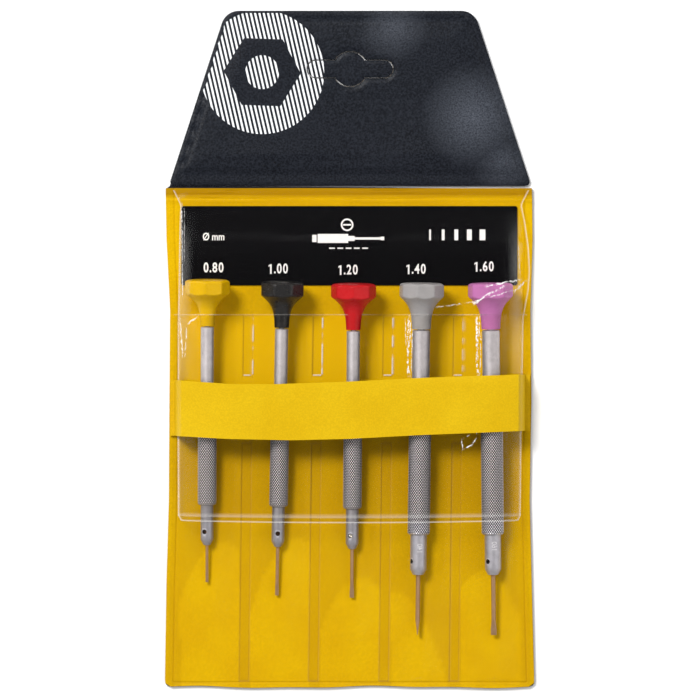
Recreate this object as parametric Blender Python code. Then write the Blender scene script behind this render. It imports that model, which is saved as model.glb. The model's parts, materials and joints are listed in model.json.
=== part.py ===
"""Precision screwdriver set: five watchmaker's screwdrivers in a heat-welded vinyl pouch.

The pouch lies flat. +Y runs from its bottom edge to the hanging header, +X to the right,
+Z up through its layers. The origin is the centre of its footprint, on the surface it lies on.
All sizes below are in millimetres; meshes are made in metres.
Run with: blender --background --python part.py
"""

import math

import bmesh
import bpy
from mathutils import Matrix, Vector

MM = 0.001

# Pouch outline
POUCH_WIDTH = 102.0
BODY_LENGTH = 139.6
HEADER_LENGTH = 49.0
HEADER_TOP_WIDTH = 69.0
HEADER_INSET = 0.5
HEADER_CORNER = 5.0
BODY_CORNER = 1.4

# Sheets and the gaps between them
VINYL = 0.5
FILM = 0.3
LAYER_GAP = 0.15
REST_GAP = 0.3
FOLD_GAP = 0.3

# Header flap
STIFFENER = 0.8
HEADER_SEAM = 2.0
HEADER_BASE_SEAM = 3.3
HEADER_SEAM_SLOPE = 1.2
SLOT_LENGTH = 24.2
SLOT_ARM = 5.3
SLOT_CIRCLE = 10.0
SLOT_BELOW_TOP = 16.2
SLOT_CUT = 0.35

# Label card
CARD_FROM_SIDE = 4.35
CARD_HEIGHT = 22.0
CARD_THICKNESS = 0.3
CARD_BELOW_TOP = 5.4
CARD_CORNER = 0.6

# Welded pockets
LANES = 5
SIDE_SEAM = 2.2
BOTTOM_SEAM = 2.0
RIB_WIDTH = 2.5
POCKET_DEPTH = 104.2
ARCH_FLAT = 0.9
TIP_ROOM = 1.5

# Retaining band
BAND_HEIGHT = 16.0
BAND_BELOW_MOUTH = 18.2
BAND_SEAM = 2.4

# Clear cover
COVER_FROM_SIDE = 3.5
COVER_BELOW_MOUTH = 57.2
COVER_EDGE = 4.2
COVER_HEAD_EDGE_DROP = 5.6
COVER_LOW_EDGE_DROP = 5.0
COVER_SHOULDER = 1.2
COVER_SEAM = 1.5

# Drivers: what all sizes share
HEAD_LENGTH = 12.7
HEAD_DIAMETER = 12.6
HEAD_FLATS = 11.66
HEAD_RIM = 3.5
HEAD_SPINS_OVER = 0.3
HEAD_AXIS_HEIGHT = 8.4
HEAD_DOME = 0.2
HEAD_CHAMFER = 0.5
HEAD_ROOF = 4.0
HEAD_FLARE = [(0.1, 0.74), (0.28, 0.37), (0.5, 0.13), (0.7, 0.03)]
FLANGE_THICKNESS = 0.6
SPINDLE_SEAT = 6.0
TUBE_CHAMFER = 0.2
NOSE_LENGTH = 11.2
NOSE_CHAMFER_LENGTH = 1.5
NOSE_CHAMFER = 0.8
GRIP_FROM_TOP = 36.0
GRIP_CHAMFER = 0.5
BLADE_SEAT = 9.5
BLADE_TRAVEL = 10.5
GROUND_LENGTH = 3.6
TIP_THIN = 0.3
SCREW_ABOVE_END = 3.75
SCREW_HOLE = 1.3
SCREW_SINK = 0.2
SCREW_SLOT_WIDTH = 0.22
SCREW_SLOT_DEPTH = 0.35
RUNNING_GAP = 0.06
DRIVER_TRAVEL = 8.0

# Drivers: what differs between the slim and the stout handle
SLIM = {
    "tube": 3.65,
    "grip": 5.2,
    "nose": 3.5,
    "neck": 4.0,
    "body_end": 73.7,
    "spindle": 1.6,
    "bush": 2.7,
}
STOUT = {
    "tube": 4.9,
    "grip": 6.2,
    "nose": 4.5,
    "neck": 5.2,
    "body_end": 81.0,
    "spindle": 2.2,
    "bush": 3.6,
}

# Drivers: one row each. "proud" is how far the head stands out of the pocket, and the two
# offsets place the head and the tip sideways from the middle of the lane.
DRIVERS = [
    {
        "code": "080",
        "handle": SLIM,
        "shaft": 0.8,
        "tip": 0.8,
        "blade": 10.4,
        "proud": 9.5,
        "head_offset": -0.5,
        "tip_offset": -0.7,
        "screw_turn": -25.0,
        "blade_turn": 0.0,
        "head_turn": 6.0,
        "colour": (0.86, 0.66, 0.0),
    },
    {
        "code": "100",
        "handle": SLIM,
        "shaft": 0.95,
        "tip": 1.0,
        "blade": 13.6,
        "proud": 9.0,
        "head_offset": 0.8,
        "tip_offset": -0.8,
        "screw_turn": -2.0,
        "blade_turn": 0.0,
        "head_turn": 20.0,
        "colour": (0.012, 0.012, 0.013),
    },
    {
        "code": "120",
        "handle": SLIM,
        "shaft": 0.95,
        "tip": 1.2,
        "blade": 13.6,
        "proud": 8.4,
        "head_offset": 1.0,
        "tip_offset": 0.5,
        "screw_turn": -18.0,
        "blade_turn": 0.0,
        "head_turn": 2.0,
        "colour": (0.68, 0.008, 0.018),
    },
    {
        "code": "140",
        "handle": STOUT,
        "shaft": 1.2,
        "tip": 1.4,
        "blade": 16.7,
        "proud": 8.6,
        "head_offset": 0.4,
        "tip_offset": -0.8,
        "screw_turn": -60.0,
        "blade_turn": 90.0,
        "head_turn": 12.0,
        "colour": (0.4, 0.4, 0.42),
    },
    {
        "code": "160",
        "handle": STOUT,
        "shaft": 1.2,
        "tip": 1.6,
        "blade": 16.8,
        "proud": 8.6,
        "head_offset": -0.1,
        "tip_offset": 0.9,
        "screw_turn": -42.0,
        "blade_turn": 0.0,
        "head_turn": 8.0,
        "colour": (0.5, 0.08, 0.38),
    },
]

# Guides and cutters
GUIDE_SIZE = 5.0
CUT_PAST = 1.0

# Fineness of round shapes
SHARP_ANGLE = 35.0
ARC_STEPS = 6
TURNED_STEPS = 24
SMALL_STEPS = 12

# Places worked out from the sizes above
LENGTH = BODY_LENGTH + HEADER_LENGTH
CARD_WIDTH = POUCH_WIDTH - 2 * CARD_FROM_SIDE
COVER_WIDTH = POUCH_WIDTH - 2 * COVER_FROM_SIDE
BOTTOM_Y = -LENGTH / 2
FOLD_Y = BOTTOM_Y + BODY_LENGTH
TOP_Y = FOLD_Y + HEADER_LENGTH
MOUTH_Y = BOTTOM_Y + POCKET_DEPTH
LINER_Z = VINYL + LAYER_GAP
LINER_TOP = LINER_Z + VINYL
FILM_Z = LINER_TOP + LAYER_GAP
LANE_PITCH = (POUCH_WIDTH - 2 * SIDE_SEAM) / LANES
BAND_TOP_Y = MOUTH_Y - BAND_BELOW_MOUTH
BAND_BOTTOM_Y = BAND_TOP_Y - BAND_HEIGHT
COVER_BOTTOM_Y = MOUTH_Y - COVER_BELOW_MOUTH
HEAD_REACH = max(d["proud"] for d in DRIVERS) + DRIVER_TRAVEL


def material(name, colour, roughness, metallic=0.0, alpha=1.0):
    """A Principled material of one colour."""
    made = bpy.data.materials.new(name)
    made.use_nodes = True
    shader = made.node_tree.nodes["Principled BSDF"]
    shader.inputs["Base Color"].default_value = (*colour, 1.0)
    shader.inputs["Roughness"].default_value = roughness
    shader.inputs["Metallic"].default_value = metallic
    shader.inputs["Alpha"].default_value = alpha
    return made


def add_object(name, mesh_data, finish, parent=None, matrix=None):
    """Turns a bmesh into a named object with its material, closed and facing out."""
    bmesh.ops.remove_doubles(mesh_data, verts=mesh_data.verts, dist=0.000001)
    bmesh.ops.recalc_face_normals(mesh_data, faces=mesh_data.faces)
    mesh = bpy.data.meshes.new(name)
    mesh_data.to_mesh(mesh)
    mesh_data.free()
    made = bpy.data.objects.new(name, mesh)
    bpy.context.scene.collection.objects.link(made)
    made.data.materials.append(finish)
    made.parent = parent
    made.matrix_local = matrix or Matrix()
    return made


def add_empty(name, parent, matrix):
    """A guide that marks a joint's axis."""
    made = bpy.data.objects.new(name, None)
    bpy.context.scene.collection.objects.link(made)
    made.empty_display_size = GUIDE_SIZE * MM
    made.parent = parent
    made.matrix_local = matrix
    return made


def cut(target, cutter):
    """Takes the cutter's shape out of the target, and leaves the cutter as a hidden guide."""
    cutter.hide_render = True
    cutter.display_type = "WIRE"
    modifier = target.modifiers.new("cut", "BOOLEAN")
    modifier.operation = "DIFFERENCE"
    modifier.solver = "EXACT"
    modifier.object = cutter


def round_shading(target):
    """Smooth shading with the hard edges kept."""
    target.data.shade_smooth()
    target.data.set_sharp_from_angle(angle=math.radians(SHARP_ANGLE))


def loft(rings):
    """A solid from rings of the same number of points, each joined to the next."""
    made = bmesh.new()
    rows = [[made.verts.new(Vector(p) * MM) for p in ring] for ring in rings]
    count = len(rows[0])
    for row, after in zip(rows, rows[1:]):
        for i in range(count):
            made.faces.new([row[i], row[(i + 1) % count], after[(i + 1) % count], after[i]])
    made.faces.new(rows[0])
    made.faces.new(list(reversed(rows[-1])))
    return made


def slab(outline, low, high):
    """A flat plate of the outline's shape, from low to high."""
    return loft([[(x, y, z) for x, y in outline] for z in (low, high)])


def draped(xs, ys, height, thickness):
    """A thin sheet over a grid of places, with its underside at height(x, y)."""
    made = bmesh.new()
    layers = []
    for lift in (0.0, thickness):
        grid = [[Vector((x, y, height(x, y) + lift)) * MM for x in xs] for y in ys]
        layers.append([[made.verts.new(p) for p in row] for row in grid])
    for layer in layers:
        for row, after in zip(layer, layer[1:]):
            for i in range(len(xs) - 1):
                made.faces.new([row[i], row[i + 1], after[i + 1], after[i]])
    below, above = layers
    columns = list(zip(*below)), list(zip(*above))
    rims = [
        (below[0], above[0]),
        (below[-1], above[-1]),
        (columns[0][0], columns[1][0]),
        (columns[0][-1], columns[1][-1]),
    ]
    for low, high in rims:
        for i in range(len(low) - 1):
            made.faces.new([low[i], low[i + 1], high[i + 1], high[i]])
    return made


def turned(profile, steps):
    """A solid turned about local Y from (distance below the head's top, radius) points."""
    made = bmesh.new()
    verts = [made.verts.new(Vector((r, -s, 0.0)) * MM) for s, r in profile]
    edges = [made.edges.new(pair) for pair in zip(verts, verts[1:])]
    if profile[0][1] > 0:
        edges.append(made.edges.new((verts[-1], verts[0])))
    bmesh.ops.spin(
        made,
        geom=verts + edges,
        cent=(0, 0, 0),
        axis=(0, 1, 0),
        angle=2 * math.pi,
        steps=steps,
        use_merge=True,
    )
    return made


def rounded(corners):
    """An outline through (x, y, radius) corners, given anticlockwise, with each one rounded."""
    points = []
    for i, (x, y, radius) in enumerate(corners):
        here = Vector((x, y))
        before = (Vector(corners[i - 1][:2]) - here).normalized()
        after = (Vector(corners[(i + 1) % len(corners)][:2]) - here).normalized()
        half = before.angle(after) / 2
        centre = here + (before + after).normalized() * (radius / math.sin(half))
        first = here + before * (radius / math.tan(half)) - centre
        sweep = math.pi - 2 * half
        start = math.atan2(first.y, first.x)
        for k in range(ARC_STEPS + 1):
            angle = start + sweep * k / ARC_STEPS
            points.append((centre.x + radius * math.cos(angle), centre.y + radius * math.sin(angle)))
    return points


def rectangle(low_x, high_x, low_y, high_y, radius):
    """A rectangle with rounded corners."""
    return rounded(
        [
            (low_x, low_y, radius),
            (high_x, low_y, radius),
            (high_x, high_y, radius),
            (low_x, high_y, radius),
        ]
    )


def header_outline(side_inset, base_inset):
    """The tapered header's outline, drawn in from its edges."""
    low_y, high_y = FOLD_Y + FOLD_GAP + base_inset, TOP_Y - side_inset
    base, top = POUCH_WIDTH / 2 - HEADER_INSET, HEADER_TOP_WIDTH / 2
    lean = (base - top) / HEADER_LENGTH

    def half_width(y):
        return base - (y - FOLD_Y) * lean - side_inset * math.hypot(1, lean)

    low, high = half_width(low_y), half_width(high_y)
    corner = HEADER_CORNER - side_inset
    return rounded(
        [
            (-low, low_y, BODY_CORNER),
            (low, low_y, BODY_CORNER),
            (high, high_y, corner),
            (-high, high_y, corner),
        ]
    )


def slot_outline(shrink):
    """The hanging slot: two round-ended arms through a circle, drawn in by shrink."""
    arm, circle = SLOT_ARM / 2 - shrink, SLOT_CIRCLE / 2 - shrink
    end = SLOT_LENGTH / 2 - SLOT_ARM / 2
    meet = math.asin(arm / circle)
    arcs = [
        (end, arm, -math.pi / 2, math.pi / 2),
        (0.0, circle, meet, math.pi - meet),
        (-end, arm, math.pi / 2, 1.5 * math.pi),
        (0.0, circle, math.pi + meet, 2 * math.pi - meet),
    ]
    centre_y = TOP_Y - SLOT_BELOW_TOP
    points = []
    for x, radius, start, stop in arcs:
        for k in range(ARC_STEPS + 1):
            angle = start + (stop - start) * k / ARC_STEPS
            points.append((x + radius * math.cos(angle), centre_y + radius * math.sin(angle)))
    return points


def along(points, place):
    """The height at a place on a line through (place, height) points in rising order."""
    for (low, start), (high, end) in zip(points, points[1:]):
        if place <= high:
            return start + (end - start) * max(0.0, place - low) / (high - low)
    return points[-1][1]


class Placing:
    """Where one driver lies: its head's top, the lean of its axis and its length."""

    def __init__(self, lane, driver):
        handle = driver["handle"]
        self.lane_x = (lane - (LANES - 1) / 2) * LANE_PITCH
        self.length = handle["body_end"] + driver["blade"]
        self.grip_end = handle["body_end"] - NOSE_LENGTH
        self.top = Vector(
            (self.lane_x + driver["head_offset"], MOUTH_Y + driver["proud"], HEAD_AXIS_HEIGHT)
        )
        grip_z = LINER_TOP + REST_GAP + handle["grip"] / 2
        self.pitch = math.asin((HEAD_AXIS_HEIGHT - grip_z) / self.grip_end)
        drift = driver["head_offset"] - driver["tip_offset"]
        self.yaw = math.asin(drift / self.length)

    def matrix(self):
        """Local +Y points out of the head along the driver's axis."""
        turn = Matrix.Rotation(-self.yaw, 4, "Z") @ Matrix.Rotation(self.pitch, 4, "X")
        return Matrix.Translation(self.top * MM) @ turn

    def axis_z(self, depth):
        """The axis's height at a distance below the head's top."""
        return self.top.z - depth * math.sin(self.pitch)

    def y_at(self, depth):
        """The place along the pouch of a point on the axis."""
        return self.top.y - depth * math.cos(self.pitch)

    def ridge(self, driver):
        """The pocket film's underside over this driver, as (y, z) points in rising order."""
        handle = driver["handle"]
        over_grip = handle["grip"] / 2 + REST_GAP
        depths = [
            (self.length + BLADE_TRAVEL + TIP_ROOM, 0.0),
            (self.length + BLADE_TRAVEL, driver["tip"] / 2 + REST_GAP),
            (handle["body_end"], handle["nose"] / 2 + REST_GAP),
            (self.grip_end, over_grip),
            (driver["proud"] / math.cos(self.pitch), over_grip),
        ]
        points = [(self.y_at(s), self.axis_z(s) + up) for s, up in depths]
        return [(BOTTOM_Y, FILM_Z), (points[0][0], FILM_Z), *points[1:]]


PLACINGS = [Placing(lane, driver) for lane, driver in enumerate(DRIVERS)]
RIDGES = [placing.ridge(driver) for placing, driver in zip(PLACINGS, DRIVERS)]


def arch_half(driver):
    """Half the width of the flat top of a pocket's arch."""
    return driver["handle"]["grip"] / 2 + ARCH_FLAT


def pocket_columns():
    """The pocket film's columns: (x, the lane whose arch is at its full height there, or None)."""
    columns = [(-POUCH_WIDTH / 2 + SIDE_SEAM / 2, None)]
    for lane, (placing, driver) in enumerate(zip(PLACINGS, DRIVERS)):
        foot = (LANE_PITCH - RIB_WIDTH) / 2
        middle = placing.lane_x + (driver["head_offset"] + driver["tip_offset"]) / 2
        columns += [
            (placing.lane_x - foot, None),
            (middle - arch_half(driver), lane),
            (middle + arch_half(driver), lane),
            (placing.lane_x + foot, None),
        ]
    return columns + [(POUCH_WIDTH / 2 - SIDE_SEAM / 2, None)]


def highest_ridge(y):
    """The highest that any pocket's arch reaches on its underside at a place along the pouch."""
    return max(along(ridge, y) for ridge in RIDGES)


def cover_height(x, y):
    """The clear cover's underside: up from its seam, over the heads, down onto the pockets."""
    seam_z = FILM_Z
    crown = HEAD_AXIS_HEIGHT + HEAD_DIAMETER / 2 + 3 * REST_GAP
    crown += DRIVER_TRAVEL * math.sin(max(p.pitch for p in PLACINGS))
    shoulder_y = MOUTH_Y + HEAD_REACH + COVER_SHOULDER
    neck_y = MOUTH_Y - HEAD_LENGTH / 2
    if y >= neck_y:
        seam_y = FOLD_Y - COVER_SEAM
        middle = along([(neck_y, crown), (shoulder_y, crown), (seam_y, seam_z)], y)
        rise = (middle - seam_z) / (crown - seam_z)
        drop = COVER_HEAD_EDGE_DROP * max(0.0, rise)
    else:
        middle = highest_ridge(min(y, BAND_TOP_Y)) + FILM + REST_GAP
        if y > BAND_TOP_Y:
            middle += (crown - middle) * (y - BAND_TOP_Y) / (neck_y - BAND_TOP_Y)
        drop = COVER_LOW_EDGE_DROP
    at_edge = abs(x) > COVER_WIDTH / 2 - COVER_EDGE / 2
    return middle - (drop if at_edge else 0.0)


def band_height(x, y):
    """The retaining band's underside: over the cover between its welded ends."""
    if abs(x) > POUCH_WIDTH / 2 - SIDE_SEAM - LAYER_GAP:
        return FILM_Z + FILM + LAYER_GAP
    return highest_ridge(y) + 2 * FILM + 2 * REST_GAP


def make_pouch():
    """The fixed sheets of the pouch."""
    black = material("black_vinyl", (0.017, 0.019, 0.022), 0.5)
    yellow = material("yellow_vinyl", (0.8, 0.52, 0.005), 0.5)
    card = material("label_card", (0.008, 0.008, 0.009), 0.35)
    film = material("clear_film", (0.95, 0.95, 0.95), 0.1, alpha=0.25)
    half = POUCH_WIDTH / 2

    outer = rectangle(-half, half, BOTTOM_Y, FOLD_Y, BODY_CORNER)
    add_object("back_cover", slab(outer, 0.0, VINYL), black)
    edge = HEADER_INSET
    inner = rectangle(-half + edge, half - edge, BOTTOM_Y + edge, FOLD_Y - edge, BODY_CORNER)
    add_object("yellow_liner", slab(inner, LINER_Z, LINER_TOP), yellow)

    card_top = FOLD_Y - CARD_BELOW_TOP
    card_half = CARD_WIDTH / 2
    outline = rectangle(-card_half, card_half, card_top - CARD_HEIGHT, card_top, CARD_CORNER)
    add_object("label_card", slab(outline, FILM_Z, FILM_Z + CARD_THICKNESS), card)

    columns = pocket_columns()
    lane_at = dict(columns)
    rows = {BOTTOM_Y + BOTTOM_SEAM / 2, MOUTH_Y}
    for ridge in RIDGES:
        rows |= {y for y, _ in ridge if BOTTOM_Y + BOTTOM_SEAM < y < MOUTH_Y}

    def pocket_height(x, y):
        lane = lane_at[x]
        return FILM_Z if lane is None else along(RIDGES[lane], y)

    pocket = draped([x for x, _ in columns], sorted(rows), pocket_height, FILM)
    add_object("pocket_film", pocket, film)

    inside = half - SIDE_SEAM - BAND_SEAM
    ends = [-half + edge, -half + SIDE_SEAM]
    reach = [placing.lane_x for placing in PLACINGS]
    columns = [*ends, -inside, *reach, inside, -ends[1], -ends[0]]
    band = draped(columns, [BAND_BOTTOM_Y, BAND_TOP_Y], band_height, VINYL)
    add_object("retaining_band", band, yellow)
    return black, film


def make_cover(film):
    """The clear cover, with its origin on the seam that it turns about."""
    seam_y = FOLD_Y - COVER_SEAM
    seam = Vector((0, seam_y, FILM_Z)) * MM
    hinge = add_empty("cover_hinge", None, Matrix.Translation(seam))
    half = COVER_WIDTH / 2
    columns = [-half, -half + COVER_EDGE]
    columns += [placing.lane_x for placing in PLACINGS[1:-1]]
    columns += [half - COVER_EDGE, half]
    rows = [
        COVER_BOTTOM_Y,
        *sorted({y for ridge in RIDGES for y, _ in ridge if COVER_BOTTOM_Y < y < BAND_BOTTOM_Y}),
        BAND_BOTTOM_Y,
        BAND_TOP_Y,
        MOUTH_Y - HEAD_LENGTH / 2,
        MOUTH_Y + HEAD_REACH + COVER_SHOULDER,
        seam_y - COVER_SEAM,
        seam_y,
    ]
    sheet = draped(columns, rows, cover_height, FILM)
    bmesh.ops.translate(sheet, verts=sheet.verts, vec=-seam)
    add_object("clear_cover", sheet, film, hinge)


def make_header(black):
    """The hanging header: two vinyl layers over a board, with the slot's slug still in place."""
    board = material("stiffener_board", (0.32, 0.28, 0.22), 0.8)
    fold = Vector((0, FOLD_Y, LINER_TOP)) * MM
    hinge = add_empty("header_hinge", None, Matrix.Translation(fold))
    board_z = LINER_Z
    panel_z = board_z + STIFFENER + LAYER_GAP
    raised = HEADER_SEAM + HEADER_SEAM_SLOPE
    base_raised = HEADER_BASE_SEAM + HEADER_SEAM_SLOPE

    back = slab(header_outline(0.0, 0.0), 0.0, VINYL)
    stiffener_edge = raised + VINYL
    stiffener_base = base_raised + VINYL
    stiffener = slab(header_outline(stiffener_edge, stiffener_base), board_z, board_z + STIFFENER)
    steps = [
        (raised + VINYL / 2, base_raised + VINYL / 2, panel_z),
        (HEADER_SEAM + VINYL / 2, HEADER_BASE_SEAM + VINYL / 2, board_z),
        (0.0, 0.0, board_z),
        (0.0, 0.0, board_z + VINYL),
        (HEADER_SEAM, HEADER_BASE_SEAM, board_z + VINYL),
        (raised, base_raised, panel_z + VINYL),
    ]
    front = loft([[(x, y, z) for x, y in header_outline(side, base)] for side, base, z in steps])

    pieces = [
        ("header_back", back, black),
        ("header_stiffener", stiffener, board),
        ("header_front", front, black),
    ]
    top = panel_z + VINYL
    for name, mesh_data, finish in pieces:
        bmesh.ops.translate(mesh_data, verts=mesh_data.verts, vec=-fold)
        made = add_object(name, mesh_data, finish, hinge)
        hole = slab(slot_outline(0.0), -CUT_PAST, top + CUT_PAST)
        bmesh.ops.translate(hole, verts=hole.verts, vec=-fold)
        cut(made, add_object(f"{name}_slot_cutter", hole, finish, hinge))
    slug = slab(slot_outline(SLOT_CUT), 0.0, top)
    bmesh.ops.translate(slug, verts=slug.verts, vec=-fold)
    add_object("hang_slot_slug", slug, black, hinge)


def mill_flats(mesh_data):
    """Eight flats on the head's rim: points outside the octagon are drawn in to it."""
    flat = HEAD_FLATS / 2 * MM
    step = math.pi / 4
    for vert in mesh_data.verts:
        around = math.atan2(vert.co.z, vert.co.x)
        from_flat = (around % step) - step / 2
        radius = math.hypot(vert.co.x, vert.co.z)
        limit = flat / math.cos(from_flat)
        if radius > limit:
            vert.co.x *= limit / radius
            vert.co.z *= limit / radius


def grind_tip(mesh_data, driver, grind_start, tip_end):
    """Draws the blade's end out to the width of its edge and down to a wedge."""
    widen = driver["tip"] / driver["shaft"]
    for vert in mesh_data.verts:
        share = (-vert.co.y / MM - grind_start) / (tip_end - grind_start)
        if share > 0:
            vert.co.x *= 1 + (widen - 1) * min(1.0, 2 * share)
            vert.co.z *= 1 + (TIP_THIN - 1) * share


def make_head(driver, axis):
    """The swivel head and the bush that it carries, which turn together on the spindle."""
    code, handle = driver["code"], driver["handle"]
    neck, bush, spindle = (handle[k] / 2 for k in ("neck", "bush", "spindle"))
    rim = HEAD_DIAMETER / 2
    bore = bush + RUNNING_GAP
    flare = HEAD_LENGTH - HEAD_RIM
    profile = [
        (0.0, 0.0),
        (HEAD_DOME, rim - HEAD_CHAMFER),
        (HEAD_DOME + HEAD_CHAMFER, rim),
        (HEAD_RIM, rim),
        *[(HEAD_RIM + down * flare, neck + out * (rim - neck)) for down, out in HEAD_FLARE],
        (HEAD_LENGTH, neck),
        (HEAD_LENGTH, bore),
        (HEAD_ROOF, bore),
        (HEAD_ROOF, 0.0),
    ]
    shape = turned(profile, TURNED_STEPS)
    mill_flats(shape)
    turn = Matrix.Rotation(math.radians(driver["head_turn"]), 4, "Y")
    finish = material(f"head_{code}", driver["colour"], 0.35)
    round_shading(add_object(f"driver_{code}_head", shape, finish, axis, turn))

    brass = material(f"bush_{code}", (0.7, 0.5, 0.2), 0.35, 1.0)
    low = HEAD_ROOF + FLANGE_THICKNESS + 2 * REST_GAP
    high = HEAD_LENGTH - REST_GAP
    hole = spindle + RUNNING_GAP
    shape = turned([(low, hole), (low, bush), (high, bush), (high, hole)], TURNED_STEPS)
    round_shading(add_object(f"driver_{code}_bush", shape, brass, axis))


def make_handle(driver, placing, axis):
    """The knurled handle with the spindle in its top end, drilled for the blade and its screw."""
    code, handle = driver["code"], driver["handle"]
    tube, grip, nose = (handle[k] / 2 for k in ("tube", "grip", "nose"))
    spindle, bush = handle["spindle"] / 2, handle["bush"] / 2
    satin = material(f"handle_{code}", (0.6, 0.6, 0.6), 0.35, 1.0)
    top = HEAD_LENGTH + HEAD_SPINS_OVER
    end = handle["body_end"]
    socket = spindle + RUNNING_GAP
    socket_end = top + SPINDLE_SEAT + REST_GAP
    blade_bore = driver["shaft"] / 2 + RUNNING_GAP
    blade_seat = end - BLADE_SEAT - REST_GAP
    profile = [
        (socket_end, 0.0),
        (socket_end, socket),
        (top, socket),
        (top, tube - TUBE_CHAMFER),
        (top + TUBE_CHAMFER, tube),
        (GRIP_FROM_TOP, tube),
        (GRIP_FROM_TOP + GRIP_CHAMFER, grip),
        (placing.grip_end - GRIP_CHAMFER, grip),
        (placing.grip_end, nose),
        (end - NOSE_CHAMFER_LENGTH, nose),
        (end, nose - NOSE_CHAMFER),
        (end, blade_bore),
        (blade_seat, blade_bore),
        (blade_seat, 0.0),
    ]
    turn = Matrix.Rotation(math.radians(driver["screw_turn"]), 4, "Y")
    shape = turned(profile, TURNED_STEPS)
    body = add_object(f"driver_{code}_handle", shape, satin, axis, turn)

    screw_s = end - SCREW_ABOVE_END
    place = turn @ Matrix.Translation(Vector((0, -screw_s, 0)) * MM)
    screw_axis = add_empty(f"driver_{code}_screw_axis", axis, place)
    stand_up = Matrix.Rotation(math.pi / 2, 4, "X")
    outside = -nose - CUT_PAST
    profile = [(outside, 0.0), (outside, SCREW_HOLE / 2), (0.0, SCREW_HOLE / 2), (0.0, 0.0)]
    hole = turned(profile, SMALL_STEPS)
    cut(body, add_object(f"driver_{code}_screw_hole", hole, satin, screw_axis, stand_up))
    round_shading(body)

    steel = material(f"spindle_{code}", (0.55, 0.55, 0.56), 0.25, 1.0)
    flange_s = HEAD_ROOF + REST_GAP
    neck_s = flange_s + FLANGE_THICKNESS
    flange = (spindle + bush) / 2
    foot = top + SPINDLE_SEAT
    profile = [
        (flange_s, 0.0),
        (flange_s, flange),
        (neck_s, flange),
        (neck_s, spindle),
        (foot, spindle),
        (foot, 0.0),
    ]
    round_shading(add_object(f"driver_{code}_spindle", turned(profile, SMALL_STEPS), steel, axis))
    return screw_axis, stand_up


def make_screw(driver, screw_axis, stand_up):
    """The slotted grub screw that clamps the blade."""
    code, nose = driver["code"], driver["handle"]["nose"] / 2
    steel = material(f"screw_{code}", (0.5, 0.48, 0.45), 0.3, 1.0)
    radius = SCREW_HOLE / 2 - RUNNING_GAP
    outer, inner = nose - SCREW_SINK, driver["shaft"] / 2 + RUNNING_GAP
    profile = [(-outer, 0.0), (-outer, radius), (-inner, radius), (-inner, 0.0)]
    screw = add_object(
        f"driver_{code}_grub_screw", turned(profile, SMALL_STEPS), steel, screw_axis, stand_up
    )
    half, floor = SCREW_SLOT_WIDTH / 2, outer - SCREW_SLOT_DEPTH
    reach = 2 * radius
    slot_edges = [(-reach, -half), (reach, -half), (reach, half), (-reach, half)]
    slot = slab(slot_edges, floor, nose + CUT_PAST)
    cut(screw, add_object(f"driver_{code}_slot_cutter", slot, steel, screw_axis))


def make_blade(driver, placing, axis):
    """The blade: a round shank in the nose, ground to a flat edge."""
    code, end = driver["code"], driver["handle"]["body_end"]
    steel = material(f"blade_{code}", (0.45, 0.4, 0.35), 0.3, 1.0)
    radius = driver["shaft"] / 2
    ground = placing.length - GROUND_LENGTH
    middle = (ground + placing.length) / 2
    profile = [
        (end - BLADE_SEAT, 0.0),
        (end - BLADE_SEAT, radius),
        (ground, radius),
        (middle, radius),
        (placing.length, radius),
        (placing.length, 0.0),
    ]
    shape = turned(profile, SMALL_STEPS)
    grind_tip(shape, driver, ground, placing.length)
    turn = Matrix.Rotation(math.radians(driver["blade_turn"]), 4, "Y")
    round_shading(add_object(f"driver_{code}_blade", shape, steel, axis, turn))


for old in list(bpy.data.objects):
    bpy.data.objects.remove(old, do_unlink=True)
vinyl, clear = make_pouch()
make_cover(clear)
make_header(vinyl)
for row, spot in zip(DRIVERS, PLACINGS):
    driver_axis = add_empty(f"driver_{row['code']}_axis", None, spot.matrix())
    make_head(row, driver_axis)
    screw_place, upright = make_handle(row, spot, driver_axis)
    make_screw(row, screw_place, upright)
    make_blade(row, spot, driver_axis)
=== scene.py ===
"""Looks for the precision screwdriver set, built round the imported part.

Lengths in this file are millimetres until a mesh is made. The pouch lies on a table: +X right,
+Y to the hanging header, +Z up through the layers.
"""

import json
import math

import bpy
import numpy as np
from mathutils import Matrix, Vector
from mathutils.geometry import delaunay_2d_cdt


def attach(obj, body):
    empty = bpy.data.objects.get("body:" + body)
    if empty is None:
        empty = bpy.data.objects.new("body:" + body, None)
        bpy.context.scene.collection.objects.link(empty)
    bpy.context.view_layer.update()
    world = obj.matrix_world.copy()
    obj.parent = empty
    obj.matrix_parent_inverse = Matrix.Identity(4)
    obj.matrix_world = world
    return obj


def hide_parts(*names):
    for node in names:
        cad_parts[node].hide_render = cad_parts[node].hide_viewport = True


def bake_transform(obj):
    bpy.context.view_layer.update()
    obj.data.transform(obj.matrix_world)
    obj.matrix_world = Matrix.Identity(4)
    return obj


MM = 0.001

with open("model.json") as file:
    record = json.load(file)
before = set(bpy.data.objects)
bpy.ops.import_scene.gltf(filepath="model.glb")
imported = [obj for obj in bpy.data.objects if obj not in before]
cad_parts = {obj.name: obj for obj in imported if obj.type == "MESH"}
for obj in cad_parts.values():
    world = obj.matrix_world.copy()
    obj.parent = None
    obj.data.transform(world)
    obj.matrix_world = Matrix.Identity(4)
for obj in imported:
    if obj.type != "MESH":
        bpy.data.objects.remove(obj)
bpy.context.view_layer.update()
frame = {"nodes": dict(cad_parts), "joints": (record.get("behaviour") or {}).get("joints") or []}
JOINTS = {j["name"]: j for j in frame["joints"]}

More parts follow.
